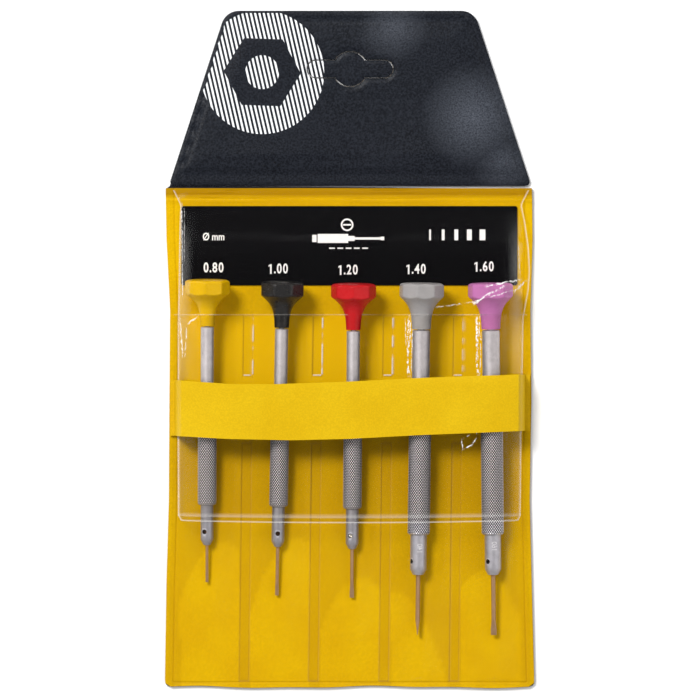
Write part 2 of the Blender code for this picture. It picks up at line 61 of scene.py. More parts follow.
# ---------------------------------------------------------------- sizes
# places along the pouch: its ends and the header's fold, then where each layer starts and stops
BOTTOM, FOLD, TOP = -94.3, 45.3, 94.3
HALF_WIDTH = 51.0
LINER_FOOT, LINER_END = -93.85, 45.0
POCKET_FOOT, FOOT_WELD = -93.2, -92.3
HEADER_BASE, HEADER_TOP = 50.5, 34.5
POCKET_MOUTH = 9.9
COVER_FREE, COVER_WELD = -47.4, 44.4
CARD_LEFT, CARD_RIGHT, CARD_LOW, CARD_HIGH = -46.9, 46.5, 18.0, 40.0
# heights of the layers above the table, and the gap that a film keeps over a driver
BACK_TOP = 0.5
LINER_LOW, LINER_HIGH = 0.65, 1.15
FILM_LOW, FILM_GAP = 1.3, 0.35
# across the pouch: the lanes' middles, and the welded ribs between them
LANES = [-39.04, -19.52, 0.0, 19.52, 39.04]
RIB_X = [-28.35, -9.05, 10.5, 30.0]
RIB_DRIFT = 0.0125
RIB_MIDDLE = 1.0
RIB_HALF = 1.4
RIB_SPANS = [(-7.0, 9.5), (-92.0, -25.9)]
# the hanging slot in the header
SLOT_Y = 78.1
SLOT_HALF, ARM, CIRCLE = 12.1, 2.65, 5.0
# a driver, measured down from its head's top, and the film's ridge past its blade
HEAD_LONG, HEAD_FACET, HEAD_RIM, HEAD_FLAT = 12.7, 3.5, 6.3, 5.83
TUBE_START, GRIP_START, NOSE_LONG = 13.0, 36.0, 11.2
KNURL_TALL, KNURL_DEEP = 0.9, 0.17
RIDGE_LONG = 11.0

SLIM = dict(tube=1.825, grip=2.6, nose=1.75, neck=2.0, end=73.7, around=24)
STOUT = dict(tube=2.45, grip=3.1, nose=2.25, neck=2.6, end=81.0, around=28)
DRIVERS = [
    dict(code="080", body=SLIM, shaft=0.4, tip=0.4, blade=10.4, turn=0, head_turn=6, slot=20),
    dict(code="100", body=SLIM, shaft=0.475, tip=0.5, blade=13.6, turn=0, head_turn=20, slot=70),
    dict(code="120", body=SLIM, shaft=0.475, tip=0.6, blade=13.6, turn=0, head_turn=2, slot=35),
    dict(code="140", body=STOUT, shaft=0.6, tip=0.7, blade=16.7, turn=90, head_turn=12, slot=10),
    dict(code="160", body=STOUT, shaft=0.6, tip=0.8, blade=16.8, turn=0, head_turn=8, slot=55),
]
HEAD_COLOURS = {
    "080": (0.66, 0.40, 0.001),
    "100": (0.011, 0.011, 0.012),
    "120": (0.50, 0.011, 0.015),
    "140": (0.33, 0.325, 0.335),
    "160": (0.50, 0.17, 0.42),
}


# ---------------------------------------------------------------- small maths
def smooth(low, high, value):
    """0 below low, 1 above high, and an easy curve between."""
    t = np.clip((np.asarray(value, float) - low) / (high - low), 0.0, 1.0)
    return t * t * (3 - 2 * t)


def ridge(value, centre, half):
    """A soft line: 1 at the centre, 0 beyond half its width."""
    return 1 - smooth(0.0, half, np.abs(np.asarray(value, float) - centre))


def wobble(x, y, seed, scale):
    """A few slow waves, between about -1 and 1."""
    rng = np.random.RandomState(seed)
    total = 0.0
    for _ in range(5):
        angle = rng.uniform(0, 2 * math.pi)
        waves = rng.uniform(0.6, 1.7) / scale
        phase = rng.uniform(0, 2 * math.pi)
        total = total + np.sin((x * math.cos(angle) + y * math.sin(angle)) * waves + phase)
    return total / 3.0


def within(x, y, loops):
    """True for places inside the first outline and outside the others, which are its holes."""
    found = inside(x, y, loops[0])
    for hole in loops[1:]:
        found &= ~inside(x, y, hole)
    return found


def line_gap(x, y, points):
    """How far places are from a line through the points."""
    nearest = np.full(np.shape(x), 1e9)
    for (ax, ay), (bx, by) in zip(points, points[1:]):
        dx, dy = bx - ax, by - ay
        t = np.clip(((x - ax) * dx + (y - ay) * dy) / (dx * dx + dy * dy + 1e-12), 0, 1)
        nearest = np.minimum(nearest, np.hypot(x - ax - t * dx, y - ay - t * dy))
    return nearest


def inside(x, y, loop):
    """True for places inside a closed outline."""
    found = np.zeros(np.shape(x), bool)
    for (ax, ay), (bx, by) in zip(loop, loop[1:] + loop[:1]):
        crosses = (ay > y) != (by > y)
        with np.errstate(divide="ignore", invalid="ignore"):
            at = ax + (y - ay) * (bx - ax) / (by - ay)
        found ^= crosses & (x < at)
    return found


# ---------------------------------------------------------------- meshes
def make_mesh(name, verts, faces, shades=None, angle=40):
    """A mesh object from places in millimetres, with named float shades on its points."""
    mesh = bpy.data.meshes.new(name)
    mesh.from_pydata([tuple(p) for p in np.asarray(verts, float) * MM], [], faces)
    mesh.validate()
    for label, values in (shades or {}).items():
        layer = mesh.attributes.new(label, "FLOAT", "POINT")
        layer.data.foreach_set("value", np.asarray(values, np.float32).ravel())
    mesh.update()
    made = bpy.data.objects.new(name, mesh)
    bpy.context.scene.collection.objects.link(made)
    mesh.shade_smooth()
    mesh.set_sharp_from_angle(angle=math.radians(angle))
    return made


def thick_grid(name, low, thickness, shades=None):
    """A closed thin sheet over a grid of places (rows, columns, 3), thickened along its normals."""
    rows, cols = low.shape[:2]
    down = np.gradient(low, axis=0)
    across = np.gradient(low, axis=1)
    normal = np.cross(across, down)
    normal /= np.linalg.norm(normal, axis=2, keepdims=True) + 1e-12
    normal *= np.sign(normal[..., 2:3] + 1e-9)
    high = low + normal * thickness
    verts = np.concatenate([low.reshape(-1, 3), high.reshape(-1, 3)])
    flip = np.cross(across, down)[..., 2].mean() < 0
    count = rows * cols
    faces = []
    for i in range(rows - 1):
        for j in range(cols - 1):
            a = i * cols + j
            quad = [a, a + 1, a + cols + 1, a + cols]
            if flip:
                quad = quad[::-1]
            faces.append([k + count for k in quad])
            faces.append(quad[::-1])
    edge = list(range(cols))
    edge += [i * cols + cols - 1 for i in range(1, rows)]
    edge += [(rows - 1) * cols + j for j in range(cols - 2, -1, -1)]
    edge += [i * cols for i in range(rows - 2, 0, -1)]
    for a, b in zip(edge, edge[1:] + edge[:1]):
        quad = [a, b, b + count, a + count]
        faces.append(quad[::-1] if flip else quad)
    both = {k: np.concatenate([v.ravel(), v.ravel()]) for k, v in (shades or {}).items()}
    return make_mesh(name, verts, faces, both)


def plate(name, outline, holes, step, low, high, shades=None):
    """A closed plate of any outline between low(x, y) and high(x, y), with shades on its front."""
    loops = [list(outline)] + [list(h) for h in holes]
    points, edges = [], []
    for loop in loops:
        start = len(points)
        points += loop
        edges += [(start + i, start + (i + 1) % len(loop)) for i in range(len(loop))]
    across, along = (np.arange(min(v) + step / 2, max(v), step) for v in zip(*outline))
    gx, gy = np.meshgrid(across, along)
    gx[1::2] += step / 2
    gx, gy = gx.ravel(), gy.ravel()
    keep = within(gx, gy, loops)
    for loop in loops:
        keep &= line_gap(gx, gy, loop + loop[:1]) > step * 0.4
    points += list(zip(gx[keep], gy[keep]))
    made = delaunay_2d_cdt([Vector(p) for p in points], edges, [], 0, 1e-6)
    places = np.array([tuple(v) for v in made[0]])
    tris = np.array([tuple(f) for f in made[2]])
    middle = places[tris].mean(axis=1)
    tris = tris[within(middle[:, 0], middle[:, 1], loops)]
    a, b, c = (places[tris[:, k]] for k in range(3))
    turn = (b[:, 0] - a[:, 0]) * (c[:, 1] - a[:, 1]) - (b[:, 1] - a[:, 1]) * (c[:, 0] - a[:, 0])
    tris[turn < 0] = tris[turn < 0][:, ::-1]
    used = np.unique(tris)
    index = np.zeros(len(places), int)
    index[used] = np.arange(len(used))
    places, tris = places[used], index[tris]
    x, y = places[:, 0], places[:, 1]
    count = len(places)
    verts = np.concatenate([np.column_stack([x, y, z(x, y)]) for z in (low, high)])
    sides = {(tri[k], tri[(k + 1) % 3]): None for tri in tris for k in range(3)}
    rim = [(u, v) for u, v in sides if (v, u) not in sides]
    faces = [[int(k) + count for k in tri] for tri in tris]
    faces += [[int(k) for k in tri[::-1]] for tri in tris]
    faces += [[int(u), int(v), int(v) + count, int(u) + count] for u, v in rim]
    front = {k: np.concatenate([0 * x, f(x, y)]) for k, f in (shades or {}).items()}
    return make_mesh(name, verts, faces, front)


def level(z):
    """A flat face of a plate."""
    return lambda x, y: np.full(np.shape(x), z)


def show(piece, finish, body, nodes=()):
    """Gives a piece its finish and its body, and the nodes that it stands for."""
    piece.data.materials.append(finish.material)
    if body:
        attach(piece, body)
    if nodes:
        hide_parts(*nodes)


def rounded(corners, steps=10):
    """An outline through (x, y, radius) corners given anticlockwise."""
    points = []
    for i, (x, y, radius) in enumerate(corners):
        here = Vector((x, y))
        back = (Vector(corners[i - 1][:2]) - here).normalized()
        on = (Vector(corners[(i + 1) % len(corners)][:2]) - here).normalized()
        half = back.angle(on) / 2
        centre = here + (back + on).normalized() * (radius / math.sin(half))
        first = here + back * (radius / math.tan(half)) - centre
        sweep = math.pi - 2 * half
        start = math.atan2(first.y, first.x)
        for k in range(steps + 1):
            angle = start + sweep * k / steps
            points.append((centre.x + radius * math.cos(angle), centre.y + radius * math.sin(angle)))
    return points


def divided(loop, step):
    """The same outline with long sides cut into steps."""
    points = []
    for (ax, ay), (bx, by) in zip(loop, loop[1:] + loop[:1]):
        pieces = max(1, int(math.hypot(bx - ax, by - ay) / step))
        points += [(ax + (bx - ax) * k / pieces, ay + (by - ay) * k / pieces) for k in range(pieces)]
    return points


# ---------------------------------------------------------------- materials
class Finish:
    """A Principled material with short names for the nodes that feed it."""

    def __init__(self, name, colour, roughness, metallic=0.0, specular=0.5):
        self.material = bpy.data.materials.new(name)
        self.material.use_nodes = True
        self.tree = self.material.node_tree
        self.shader = self.tree.nodes["Principled BSDF"]
        self.output = self.tree.nodes["Material Output"]
        self.shader.inputs["Base Color"].default_value = (*colour, 1)
        self.shader.inputs["Roughness"].default_value = roughness
        self.shader.inputs["Metallic"].default_value = metallic
        self.shader.inputs["Specular IOR Level"].default_value = specular
        self.place = self.node("TexCoord").outputs["Object"]

    def node(self, kind, **settings):
        made = self.tree.nodes.new("ShaderNode" + kind)
        for key, value in settings.items():
            setattr(made, key, value)
        return made

    def feed(self, socket, value):
        if isinstance(value, bpy.types.NodeSocket):
            self.tree.links.new(value, socket)
        elif value is not None:
            socket.default_value = value

    def math(self, operation, a, b=None, clamp=False):
        made = self.node("Math", operation=operation, use_clamp=clamp)
        self.feed(made.inputs[0], a)
        self.feed(made.inputs[1], b)
        return made.outputs[0]

    def plus(self, a, b, clamp=False):
        return self.math("ADD", a, b, clamp)

    def minus(self, a, b, clamp=False):
        return self.math("SUBTRACT", a, b, clamp)

    def times(self, a, b, clamp=False):
        return self.math("MULTIPLY", a, b, clamp)

    def x_and_y(self):
        made = self.node("SeparateXYZ")
        self.feed(made.inputs[0], self.place)
        return made.outputs[0], made.outputs[1]

    def stretched(self, scale):
        made = self.node("Mapping")
        self.feed(made.inputs["Vector"], self.place)
        made.inputs["Scale"].default_value = scale
        return made.outputs[0]

    def noise(self, size, detail=2.0, rough=0.5, vector=None):
        """Noise whose grains are about size millimetres."""
        made = self.node("TexNoise")
        self.feed(made.inputs["Vector"], vector or self.place)
        made.inputs["Scale"].default_value = 1 / (size * MM)
        made.inputs["Detail"].default_value = detail
        made.inputs["Roughness"].default_value = rough
        return made.outputs["Fac"]

    def cells(self, size):
        made = self.node("TexVoronoi", feature="SMOOTH_F1")
        self.feed(made.inputs["Vector"], self.place)
        made.inputs["Scale"].default_value = 1 / (size * MM)
        return made.outputs["Distance"]

    def span(self, value, low, high, to_low, to_high):
        made = self.node("MapRange")
        for socket, given in zip(made.inputs[:5], (value, low, high, to_low, to_high)):
            self.feed(socket, given)
        return made.outputs["Result"]

    def mix(self, share, a, b):
        made = self.node("Mix", data_type="RGBA")
        self.feed(made.inputs[0], share)
        self.feed(made.inputs[6], a if not isinstance(a, tuple) else (*a, 1))
        self.feed(made.inputs[7], b if not isinstance(b, tuple) else (*b, 1))
        return made.outputs[2]

    def two_tones(self, value, low, high, one, other):
        """One tone where value is below low, turning into the other where it is above high."""
        return self.mix(self.span(value, low, high, 0, 1), one, other)

    def shade(self, name):
        return self.node("Attribute", attribute_name=name).outputs["Fac"]

    def bump(self, height, depth, strength):
        """Bumps of depth millimetres where height goes from 0 to 1."""
        made = self.node("Bump")
        made.inputs["Strength"].default_value = strength
        made.inputs["Distance"].default_value = depth * MM
        self.feed(made.inputs["Height"], height)
        return made.outputs[0]

    def tone(self):
        """What feeds the base colour so far."""
        return self.shader.inputs["Base Color"].links[0].from_socket

    def set(self, **given):
        for key, value in given.items():
            self.feed(self.shader.inputs[key.replace("_", " ")], value)
        return self


def vinyl(name, colour, dark, grain, depth, roughness, specular=0.2):
    """Grained vinyl: a fine leather grain, with a little painted shade in its valleys."""
    made = Finish(name, colour, roughness, specular=specular)
    fine = made.noise(grain, 3, 0.6)
    cells = made.cells(grain * 1.3)
    grains = made.plus(made.times(fine, 0.6), made.times(cells, 0.6))
    tone = made.two_tones(made.noise(14, 2, 0.5), 0.35, 0.65, colour, dark)
    # painted shade: the grain's valleys are coloured darker
    tone = made.mix(made.span(fine, 0.42, 0.62, 0.22, 0.0), tone, tuple(c * 0.5 for c in dark))
    made.set(Base_Color=tone, Normal=made.bump(grains, depth, 0.8))
    made.set(Roughness=made.span(fine, 0.3, 0.7, roughness - 0.07, roughness + 0.08))
    return made


# painted highlights on the header's padded middle, where the lamp's light falls: x, y, reach and strength
PAINTED_HIGHLIGHTS = [(34.5, 65.0, 15, 0.75), (12.0, 89.5, 10, 0.5), (42.5, 52.0, 9, 0.5)]
EMBLEM = dict(x=-24.4, y=77.2, radius=17.2, hatch=1.17, nut=9.3, bore=4.7)


def header_vinyl(printed):
    """The black vinyl, with the white hatched nut that is printed on the header."""
    name = "printed_black_vinyl" if printed else "black_vinyl"
    base = (0.0058, 0.0070, 0.0108)
    made = vinyl(name, base, (0.0035, 0.0045, 0.0072), 0.42, 0.10, 0.38)
    made.set(Specular_IOR_Level=0.10)
    grain = made.noise(0.55, 3, 0.65)
    made.set(Base_Color=made.two_tones(grain, 0.40, 0.62, made.tone(), (0.0150, 0.0175, 0.0240)))
    # painted highlights: pale spots on the black vinyl, mottled by a fine speckle
    painted_highlight = None
    for sx, sy, reach, strength in PAINTED_HIGHLIGHTS:
        near = made.node("VectorMath", operation="DISTANCE")
        made.feed(near.inputs[0], made.place)
        near.inputs[1].default_value = (sx * MM, sy * MM, 0.002)
        spot = made.span(near.outputs["Value"], 0, reach * MM, strength, 0)
        painted_highlight = spot if painted_highlight is None else made.math("MAXIMUM", painted_highlight, spot)
    speckle = made.span(made.noise(0.42, 3, 0.6), 0.35, 0.65, 0.35, 1.3)
    painted_highlight = made.times(painted_highlight, speckle, clamp=True)
    made.set(Base_Color=made.mix(painted_highlight, made.tone(), (0.085, 0.094, 0.115)))
    if not printed:
        return made
    x, y = made.x_and_y()
    cx, cy, radius = (EMBLEM[key] * MM for key in ("x", "y", "radius"))
    px, py = made.minus(x, cx), made.minus(y, cy)

    def along(degrees):
        c, s = math.cos(math.radians(degrees)), math.sin(math.radians(degrees))
        return made.plus(made.times(px, c), made.times(py, s))

    stripes = made.math("FRACT", made.math("DIVIDE", along(13), EMBLEM["hatch"] * MM))
    stripes = made.math("ABSOLUTE", made.minus(stripes, 0.5))
    stripes = made.math("LESS_THAN", stripes, 0.235)
    squares = made.plus(made.times(px, px), made.times(py, py))
    away = made.math("SQRT", squares)
    disc = made.math("LESS_THAN", away, radius)
    flats = None
    for degrees in (28, 88, 148):
        away_from_flat = made.math("ABSOLUTE", along(degrees))
        flats = away_from_flat if flats is None else made.math("MAXIMUM", flats, away_from_flat)
    nut = made.math("LESS_THAN", flats, EMBLEM["nut"] * MM)
    bore = made.math("LESS_THAN", away, EMBLEM["bore"] * MM)
    solid = made.minus(nut, bore, clamp=True)
    ink = made.times(made.times(stripes, disc), made.minus(1, solid))
    ink = made.times(ink, made.math("GREATER_THAN", made.shade("inset"), 0.5))
    made.set(Base_Color=made.mix(ink, made.tone(), (0.80, 0.81, 0.83)))
    return made


def clear_film(name, tint, haze, rough, glints=()):
    """Clear soft vinyl film: mostly see-through, shiny, with white where it is creased, partly real
    whitening and partly painted highlights.

    Each glint is a painted highlight along a wavy line: its two ends in millimetres, its half width and its
    strength.
    """
    made = Finish(name, (1, 1, 1), 0.3)
    see = made.node("BsdfTransparent")
    see.inputs["Color"].default_value = (*tint, 1)
    whitening_and_glint = made.node("BsdfDiffuse")
    whitening_and_glint.inputs["Color"].default_value = (0.93, 0.93, 0.92, 1)
    shine = made.node("BsdfGlossy")
    shine.inputs["Roughness"].default_value = rough
    # white on the film: partly real whitening at its creases, partly painted highlights
    whitening_and_glint_mask = made.shade("whitening_and_glint")
    patches = made.noise(7, 3, 0.6)
    amount = made.plus(made.times(patches, haze), whitening_and_glint_mask, clamp=True)
    flutter = made.minus(made.noise(1.5, 3, 0.6), 0.5)
    broken = made.span(made.noise(0.9, 2, 0.6), 0.44, 0.56, 0, 1)
    x, y = made.x_and_y()
    # painted highlights along wavy lines
    for ax, ay, bx, by, half, strength in glints:
        length = math.hypot(bx - ax, by - ay)
        ux, uy = (bx - ax) / length, (by - ay) / length
        dx, dy = made.minus(x, ax * MM), made.minus(y, ay * MM)
        along = made.plus(made.times(dx, ux), made.times(dy, uy))
        across = made.minus(made.times(dy, ux), made.times(dx, uy))
        across = made.plus(across, made.times(flutter, 5 * half * MM))
        line = made.span(made.math("ABSOLUTE", across), 0, half * MM, 1, 0)
        middle = made.math("ABSOLUTE", made.minus(along, length / 2 * MM))
        ends = made.span(middle, (length / 2 - 1.5) * MM, length / 2 * MM, 1, 0)
        line = made.times(line, ends)
        line = made.times(line, made.times(broken, strength))
        amount = made.plus(amount, line, clamp=True)
    fine = made.noise(2.4, 2, 0.5)
    slow = made.noise(9, 2, 0.5)
    normal = made.bump(made.plus(made.times(fine, 0.25), slow), 0.35, 0.6)
    made.feed(shine.inputs["Normal"], normal)
    facing = made.node("LayerWeight")
    facing.inputs["Blend"].default_value = 0.5
    made.feed(facing.inputs["Normal"], normal)
    mirror = made.math("POWER", facing.outputs["Facing"], 4.0)
    mirror = made.plus(made.times(mirror, 0.20), 0.0015, clamp=True)
    film = see.outputs[0]
    for share, layer in ((amount, whitening_and_glint), (mirror, shine)):
        both = made.node("MixShader")
        for socket, value in zip(both.inputs, (share, film, layer.outputs[0])):
            made.feed(socket, value)
        film = both.outputs[0]
    made.feed(made.output.inputs["Surface"], film)
    made.tree.nodes.remove(made.shader)
    return made


def satin_metal(name, colour, roughness, brushing, spread=0.06, metallic=1.0):
    """Satin metal with fine turning marks round its axis."""
    made = Finish(name, colour, roughness, metallic=metallic)
    marks = made.noise(0.12, 2, 0.6, made.stretched(brushing))
    spots = made.noise(1.6, 3, 0.6)
    tone = made.two_tones(spots, 0.35, 0.7, colour, tuple(c * 0.82 for c in colour))
    made.set(Base_Color=tone, Normal=made.bump(marks, 0.01, 0.5))
    made.set(Roughness=made.span(marks, 0.3, 0.7, roughness - spread, roughness + spread))
    return made


YELLOW = (0.670, 0.405, 0.0010)
yellow = vinyl("yellow_vinyl", YELLOW, (0.63, 0.365, 0.0010), 0.5, 0.03, 0.45, 0.03)
band_yellow = vinyl("band_vinyl", (0.66, 0.425, 0.006), (0.62, 0.385, 0.004), 0.42, 0.02, 0.5, 0.05)
black = header_vinyl(False)
printed_black = header_vinyl(True)
pocket_clear = clear_film("pocket_film", (0.992, 0.986, 0.978), 0.0003, 0.10)
# painted highlights on the cover film: each row gives one line's two ends, its half width and its strength
GLINTS = [
    (16.2, 9.8, 16.0, -7.6, 0.30, 0.95),
    (17.3, 6.0, 17.0, -6.5, 0.16, 0.7),
    (15.3, 9.0, 15.5, 1.0, 0.14, 0.6),
    (16.9, 9.5, 16.6, 2.0, 0.20, 0.7),
    (15.6, -2.0, 16.8, -7.8, 0.18, 0.8),
    (35.0, 9.8, 35.3, -7.6, 0.30, 0.95),
    (36.2, 5.0, 36.0, -7.0, 0.14, 0.7),
    (34.6, 8.5, 35.4, 3.5, 0.22, 0.8),
    (35.9, 9.8, 35.6, 3.0, 0.18, 0.7),
    (34.9, -3.0, 36.0, -8.0, 0.18, 0.8),
    (23.5, 11.8, 34.0, 13.2, 0.22, 0.35),
    (33.4, 12.6, 43.0, 18.0, 0.45, 0.75),
    (37.0, 17.6, 48.0, 19.6, 0.30, 0.95),
    (38.5, 14.5, 46.0, 16.8, 0.20, 0.6),
    (45.2, 15.6, 49.0, 19.6, 0.35, 0.9),
    (-46.7, 41.0, -46.4, 14.0, 0.14, 0.8),
    (-46.0, 40.0, -45.9, 24.0, 0.12, 0.5),
    (-47.2, 9.2, -46.3, -2.5, 0.20, 0.9),
    (-45.2, 7.0, -42.0, 9.4, 0.24, 0.8),
    (-45.2, 6.5, -45.8, -2.5, 0.18, 0.7),
    (35.3, -22.0, 35.2, -24.6, 0.22, 0.9),
    (35.2, -24.0, 33.8, -26.4, 0.22, 0.9),
    (34.2, -26.0, 31.4, -27.6, 0.22, 0.9),
    (31.0, -24.4, 31.2, -28.0, 0.20, 0.8),
    (31.4, -24.6, 33.4, -23.4, 0.20, 0.8),
    (46.6, 30.0, 47.2, 20.0, 0.14, 0.6),
]
cover_clear = clear_film("cover_film", (0.985, 0.975, 0.962), 0.0003, 0.07, GLINTS)

# painted light brightens the lanes above the band; painted shade darkens the welded seams, the fold's strip
# and the lower lanes
painted_light_tone = yellow.mix(yellow.shade("bright"), yellow.tone(), (0.78, 0.47, 0.001))
yellow.set(Base_Color=yellow.mix(yellow.shade("weld_and_painted_shade"), painted_light_tone, (0.36, 0.19, 0.001)))


# ---------------------------------------------------------------- floor, light, camera
def studio():
    """A pale table, a bright soft room, one big soft lamp up and to the left, and the camera."""
    scene = bpy.context.scene
    bpy.ops.mesh.primitive_plane_add(size=6, location=(0, 0, -0.0002))
    floor = bpy.context.object
    floor.name = "floor"
    white = Finish("floor_white", (0.93, 0.93, 0.93), 0.9, specular=0.1)
    floor.data.materials.append(white.material)

    world = bpy.data.worlds.new("room")
    scene.world = world
    world.use_nodes = True
    nodes, links = world.node_tree.nodes, world.node_tree.links
    place = nodes.new("ShaderNodeTexCoord")
    split = nodes.new("ShaderNodeSeparateXYZ")
    links.new(place.outputs["Generated"], split.inputs[0])
    ramp = nodes.new("ShaderNodeValToRGB")
    stops = ((0.0, 0.35), (0.25, 0.80), (0.62, 0.86), (0.84, 0.54), (1.0, 0.40))
    while len(ramp.color_ramp.elements) < len(stops):
        ramp.color_ramp.elements.new(0.5)
    for element, (at, grey) in zip(ramp.color_ramp.elements, stops):
        element.position = at
        element.color = (grey, grey, grey * 1.01, 1)
    links.new(split.outputs[2], ramp.inputs[0])
    background = nodes["Background"]
    links.new(ramp.outputs[0], background.inputs["Color"])
    background.inputs["Strength"].default_value = 0.83

    def lamp(name, place, size, power):
        data = bpy.data.lights.new(name, "AREA")
        data.shape = "SQUARE"
        data.size = size
        data.energy = power
        made = bpy.data.objects.new(name, data)
        scene.collection.objects.link(made)
        made.location = place
        made.rotation_euler = (-Vector(place)).to_track_quat("-Z", "Y").to_euler()

    lamp("key", (-0.55, 0.62, 1.15), 0.45, 19.5)
    lamp("fill", (1.1, 0.1, 1.0), 1.3, 4.5)

    data = bpy.data.cameras.new("camera")
    data.lens, data.sensor_width = 555.6, 36.0
    data.clip_start, data.clip_end = 0.1, 20
    camera = bpy.data.objects.new("camera", data)
    scene.collection.objects.link(camera)
    camera.location = (0, 0, 3.0 + 0.004)
    camera.rotation_euler = (0, 0, 0)
    scene.camera = camera
    scene.view_settings.view_transform = "Standard"


studio()


# ---------------------------------------------------------------- header
def header_outline():
    low_y, high_y = FOLD + 0.3, TOP
    lean = (HEADER_BASE - HEADER_TOP) / (TOP - FOLD)

    def half(y):
        return HEADER_BASE - (y - FOLD) * lean

    low, high, bend = half(low_y), half(high_y), 5.0
    return rounded([(-low, low_y, 1.2), (low, low_y, 1.2), (high, high_y, bend), (-high, high_y, bend)])


def slot_outline(shrink):
    """The hanging slot: a long slot with a circle in its middle."""
    arm, circle, end = ARM - shrink, CIRCLE - shrink, SLOT_HALF - ARM
    meet = math.asin(arm / circle)
    arcs = [
        (end, arm, -math.pi / 2, math.pi / 2),
        (0.0, circle, meet, math.pi - meet),
        (-end, arm, math.pi / 2, 1.5 * math.pi),
        (0.0, circle, math.pi + meet, 2 * math.pi - meet),
    ]
    points = []
    for x, radius, start, stop in arcs:
        for k in range(13):
            angle = start + (stop - start) * k / 12
            points.append((x + radius * math.cos(angle), SLOT_Y + radius * math.sin(angle)))
    return points


HEADER_LOOP = divided(header_outline(), 0.6)
SLOT_LOOP = divided(slot_outline(0.0), 0.6)


def header_depth(x, y):
    """How far a place is in from the header's edge, with the wider flat strip at its base."""
    edge = line_gap(x, y, HEADER_LOOP + HEADER_LOOP[:1])
    base = y - (FOLD + 0.3)
    return np.minimum(edge, np.where(base < 8, base - 1.5 * smooth(0.4, 2.2, base), edge)), edge


def header_top(x, y):
    """The header's front face: a flat weld round the edge, a groove, and a padded middle."""
    depth, edge = header_depth(x, y)
    z = 1.15 + 0.05 * wobble(x, y, 3, 9)
    z = z - 0.32 * (1 - smooth(0.0, 0.35, edge))
    z = z - 0.28 * ridge(depth, 1.75, 0.45)
    swell = smooth(1.9, 3.4, depth) * 0.6 + smooth(2.0, 9.0, depth) * 0.35
    z = z + swell
    z = z + 0.16 * smooth(3, 9, depth) * wobble(x, y, 8, 8)
    slot = line_gap(x, y, SLOT_LOOP + SLOT_LOOP[:1])
    z = z - 0.42 * (1 - smooth(0.0, 0.75, slot))
    return z


header_panel = plate(
    "header_panel",
    HEADER_LOOP,
    [SLOT_LOOP],
    0.8,
    level(LINER_LOW),
    header_top,
    {"inset": lambda x, y: smooth(0.8, 1.2, header_depth(x, y)[1])},
)
show(header_panel, printed_black, "header", ["header_front"])

SLUG_LOOP = divided(slot_outline(0.35), 0.5)
slug = plate(
    "slot_slug",
    SLUG_LOOP,
    [],
    0.7,
    level(0.02),
    lambda x, y: header_top(x, y) + 0.05,
    {"inset": level(1.0)},
)
show(slug, printed_black, "header", ["hang_slot_slug"])


# ---------------------------------------------------------------- back sheet
def body_edges(y):
    """Left and right edges of the yellow sheet at a place along it."""
    ys = [-94.0, -91.7, -63.9, -41.7, -13.9, 11.1, 30.6, 44.4, 45.4]
    left = [-51.3, -51.45, -51.0, -50.35, -50.2, -50.0, -51.0, -51.25, -51.2]
    right = [51.1, 51.2, 50.5, 49.95, 50.4, 50.15, 50.75, 50.6, 50.5]
    return np.interp(y, ys, left), np.interp(y, ys, right)


def rib_shift(y):
    """How far the ribs have drifted sideways at a place along them."""
    return (y - RIB_MIDDLE) * RIB_DRIFT


def rib_lines(x, y):
    """1 in the middle of each pressed rib, 0 outside them, and how close its edge is."""
    flat = np.zeros(np.shape(x))
    edge = np.zeros(np.shape(x))
    for low, high in RIB_SPANS:
        for centre in RIB_X:
            away = np.abs(x - centre - rib_shift(y))
            out = np.maximum(away - RIB_HALF, np.maximum(low - y, y - high))
            flat = np.maximum(flat, 1 - smooth(-0.12, 0.12, out))
            edge = np.maximum(edge, ridge(out, 0.0, 0.28))
    return flat, edge


def border_groove(x, y):
    """The welded lines near the sides and the bottom."""
    left, right = body_edges(y)
    side = np.maximum(ridge(x, left + 2.3, 0.4), ridge(x, right - 2.1, 0.4))
    side = side * (y > FOOT_WELD - 0.1)
    foot = ridge(y, FOOT_WELD, 0.4) * ((x > left + 2.0) & (x < right - 2.0))
    return np.maximum(side, foot)


def foot_wave(x):
    """How far the bottom edge waves up, from heat and handling."""
    return 0.35 + 0.22 * np.sin(x / 9.0 + 0.6) + 0.12 * np.sin(x / 3.7)


def back_outline():
    """The black back sheet and the header's back in one outline, with the fold between them."""
    points = [(x, BOTTOM + 0.22 + float(foot_wave(x))) for x in np.linspace(-49.7, 49.7, 60)]
    ys = np.linspace(BOTTOM + 1.6, FOLD - 0.5, 50)
    points += [(50.75, BOTTOM + 1.0)]
    points += [(float(body_edges(v)[1]) + 0.06, v) for v in ys]
    points += header_outline()[8:]
    points += [(-HEADER_BASE + 0.4, FOLD + 0.3)]
    points += [(float(body_edges(v)[0]) + 0.1, v) for v in ys[::-1]]
    points += [(-50.8, BOTTOM + 1.0)]
    return points


BACK_LOOP = divided(back_outline(), 1.0)


def back_low(x, y):
    """The back sheet's underside, with the welds showing faintly."""
    flat, edge = rib_lines(x, y)
    lift = 0.16 * edge + 0.05 * flat + 0.2 * border_groove(x, y)
    lift = lift + 0.2 * ridge(y, FOLD + 0.2, 0.7)
    return np.clip(lift, 0, 0.3)


backing = plate("back_sheet", BACK_LOOP, [SLOT_LOOP], 1.3, back_low, level(BACK_TOP))
show(backing, black, None, ["back_cover", "header_back"])
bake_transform(backing)


# ---------------------------------------------------------------- yellow liner
def spread_places(low, high, step, fine):
    """Places from low to high a step apart, with extra places round the fine ones."""
    places = set(np.round(np.arange(low, high + step / 2, step), 3))
    for centre, half in fine:
        places |= set(np.round(np.linspace(centre - half, centre + half, 9), 3))
    kept = []
    for place in sorted(p for p in places if low <= p <= high):
        if not kept or place - kept[-1] > 0.05:
            kept.append(place)
    kept[-1] = high
    return np.array(kept)


